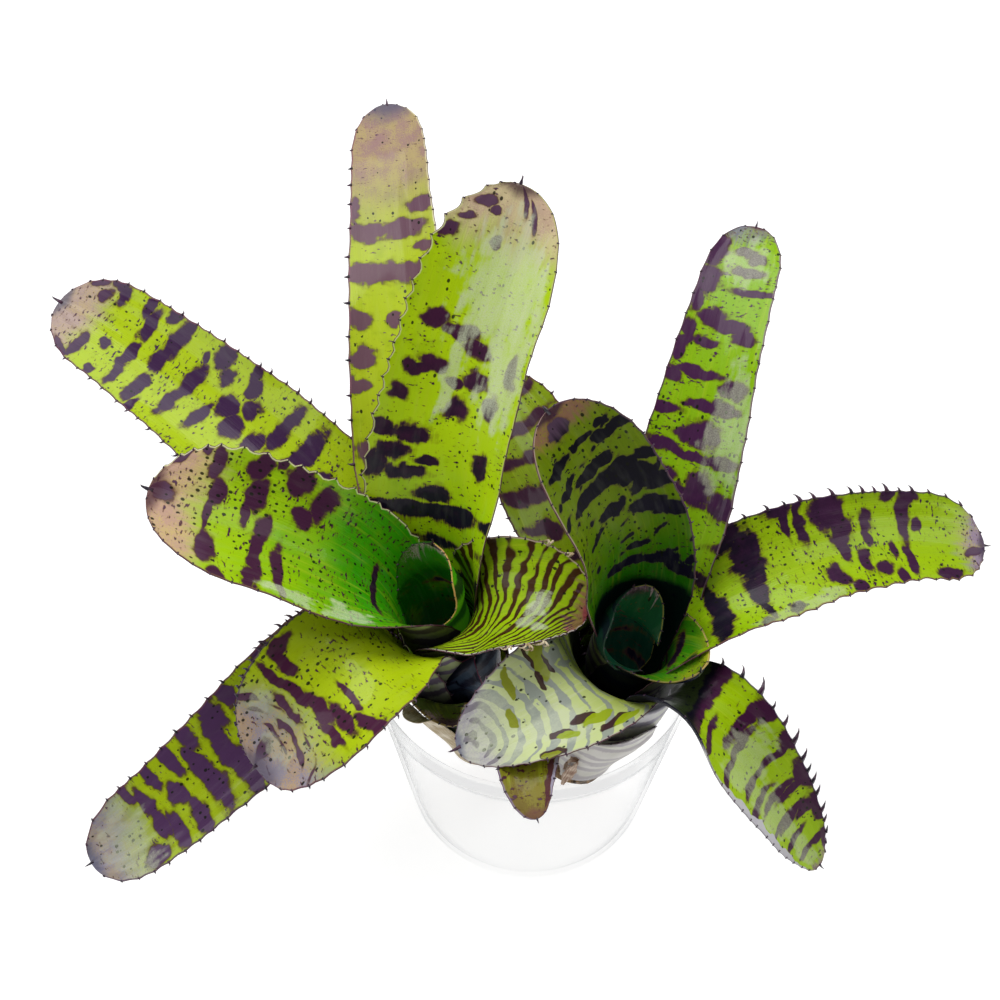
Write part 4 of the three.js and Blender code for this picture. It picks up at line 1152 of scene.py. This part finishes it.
def make_cup():
    """Turned from a profile: up the outside, over the rolled rim, down inside and to the middle."""
    bead = [(CUP_RIM - BEAD + BEAD * math.cos(math.radians(a)),
             CUP_HEIGHT - BEAD + BEAD * math.sin(math.radians(a))) for a in range(-135, 181, 21)]
    wall_top, inner_top = bead[0], (bead[0][0] - CUP_WALL, bead[0][1])
    inside = CUP_BASE - CUP_WALL
    outer = [(CUP_BASE - 2.2, 0.0), (CUP_BASE - 1.0, 0.1), (CUP_BASE - 0.25, 0.5)]
    outer += list(np.linspace((CUP_BASE, CUP_HEEL), wall_top, 7)[:-1])
    inner = list(np.linspace(inner_top, (inside, CUP_FLOOR + CUP_HEEL), 7))
    inner += [(inside - 0.4, CUP_FLOOR + 0.35), (inside - 1.4, CUP_FLOOR)]
    middle = [(6.0, CUP_FLOOR), (1.0, CUP_FLOOR), (1.0, RECESS), (6.0, RECESS)]  # round a pinhole
    ring = [(CUP_BASE - 4.0, RECESS), (CUP_BASE - 3.2, 0.0)]
    parts = Parts()
    parts.add(*turned(outer + bead + inner + middle + ring, 144), 0)
    stand_for(parts.build("clear_cup_walls", [clear_plastic_finish()]), "clear_cup")


# ---------------------------------------------------------------- rhizome and roots

STEM_BELOW = 6.6  # of the stem's rounded foot, below the lowest leaf scar
STEM_ABOVE = 1.6  # of its top, above the uppermost
SHEATH_TO_STEM = 0.95  # from the middle of a sheath's foot in to the stem
BARK_DEPTH = 0.3  # of the bark inside the CAD model's stem, and of the scars in the bark
RUNNER_RADIUS = 3.7
ROOT_RADII = 1.25, 0.55
CUP_FLOOR_CLEAR = 1.55  # height that the roots keep over the cup's underside
ROOTLETS_EACH = 5
ROOTS = (  # rosette, heading and reach of each root
    ("left", 50, 17), ("left", 88, 20), ("left", 130, 17),
    ("right", 35, 16), ("right", 82, 20), ("right", 125, 16))


def add_stem(parts, rosette):
    """A stem that narrows from layer to layer, ringed with leaf scars and slightly bumpy."""
    axis = unit(rosette.crown - rosette.foot)
    side = unit(np.cross(axis, (0, 1, 0)))
    over = np.cross(axis, side)
    top = LAYER_STEP * rosette.layers
    rows, turns = 44, 36
    points = []
    for h in np.linspace(-STEM_BELOW, top + STEM_ABOVE, rows):
        # The stem's radius, then rounded off at its foot and at its top.
        r = STEM_RADIUS + STEM_PITCH * (rosette.layers - max(h, 0) / LAYER_STEP) - SHEATH_TO_STEM
        r *= math.sqrt(max(0.02, 1 - (min(h, 0) / 7) ** 2)) * min(1, (top + 1.8 - h) / 1.8 + 0.05)
        scar = BARK_DEPTH * (0.5 + 0.5 * math.cos(h * math.tau / LAYER_STEP))
        for a in np.arange(turns) * math.tau / turns:
            bumpy = 0.18 * math.sin(5 * a + h * 0.9) + 0.12 * math.sin(9 * a - h * 1.7)
            reach = max(0.2, r - BARK_DEPTH - scar + bumpy * (r > 2))
            points.append(rosette.foot + axis * h + (side * math.cos(a) + over * math.sin(a)) * reach)
    parts.add(points, grid_faces(rows, turns) + end_caps(rows, turns), 0)


def add_runner(parts):
    """The runner between the stems, knobbly with old scales."""
    start, end = (ROSETTES[side].foot - (0, 0, 3) for side in ("left", "right"))
    steps = 15
    line = list(np.linspace(start, end, steps)) + [end + (end - start) * 0.02]
    parts.add_tube(line, [RUNNER_RADIUS + 0.3 * math.sin(k * 1.9) for k in range(steps)], 0, sides=20)


def add_root(parts, rosette, turn, reach, rng):
    """A wiry root that runs down and out along the cup's floor, with a few rootlets."""
    out, beside = heading(turn), heading(turn + 90)
    # How far out and how high it is at its start, its two bends and its end.
    knots = np.array([(2, rosette.foot[2] - 3), (5, 6), (0.6 * reach, 3.2), (reach, 2.3)])
    t = np.linspace(0, 3, 22)
    route = np.stack([np.interp(t, range(4), knots[:, k]) for k in (0, 1)], -1)
    for _ in range(3):
        route[1:-1] = (route[:-2] + route[1:-1] + route[2:]) / 3
    sway = 0.5 * np.sin(t * 2.3 + turn) * smooth(t, 0, 1)
    line = rosette.foot * (1, 1, 0) + out * route[:, :1] + beside * sway[:, None]
    thick = np.linspace(*ROOT_RADII, len(t)) + 0.08 * np.sin(t * 7)
    line[:, 2] = np.maximum(line[:, 2] + route[:, 1], CUP_FLOOR_CLEAR + thick)
    parts.add_tube(line, thick[:-1], 0, sides=10)
    for _ in range(ROOTLETS_EACH):
        start = line[rng.randrange(5, 18)]
        way = unit(beside * rng.choice((-1, 1)) + out * rng.uniform(-0.2, 0.8) + np.array([0, 0, -0.5]))
        span = rng.uniform(2.5, 5.0)
        rootlet = np.array([start, start + way * span * 0.5, start + way * span + (0, 0, 0.4)])
        rootlet[:, 2] = np.maximum(rootlet[:, 2], CUP_FLOOR_CLEAR + 0.2)
        parts.add_tube(rootlet, [0.3, 0.2], 0)


def make_rhizome():
    rng = random.Random(5)
    parts = Parts()
    for rosette in ROSETTES.values():
        add_stem(parts, rosette)
    add_runner(parts)
    for side, turn, reach in ROOTS:
        add_root(parts, ROSETTES[side], turn, reach, rng)
    stand_for(parts.build("rhizome_with_roots", [bark_finish()]), "rhizome_and_roots")


# ---------------------------------------------------------------- the whole

FLOOR_REACH = 4  # metres to each side


def make_floor():
    mesh = bpy.data.meshes.new("floor")
    corners = [(x * FLOOR_REACH, y * FLOOR_REACH, 0) for x, y in ((-1, -1), (1, -1), (1, 1), (-1, 1))]
    mesh.from_pydata(corners, [], [(0, 1, 2, 3)])
    mesh.materials.append(pale_floor_finish())
    place("floor", mesh)


add_camera()
light_studio()
make_floor()
make_cup()
make_rhizome()
make_leaves()
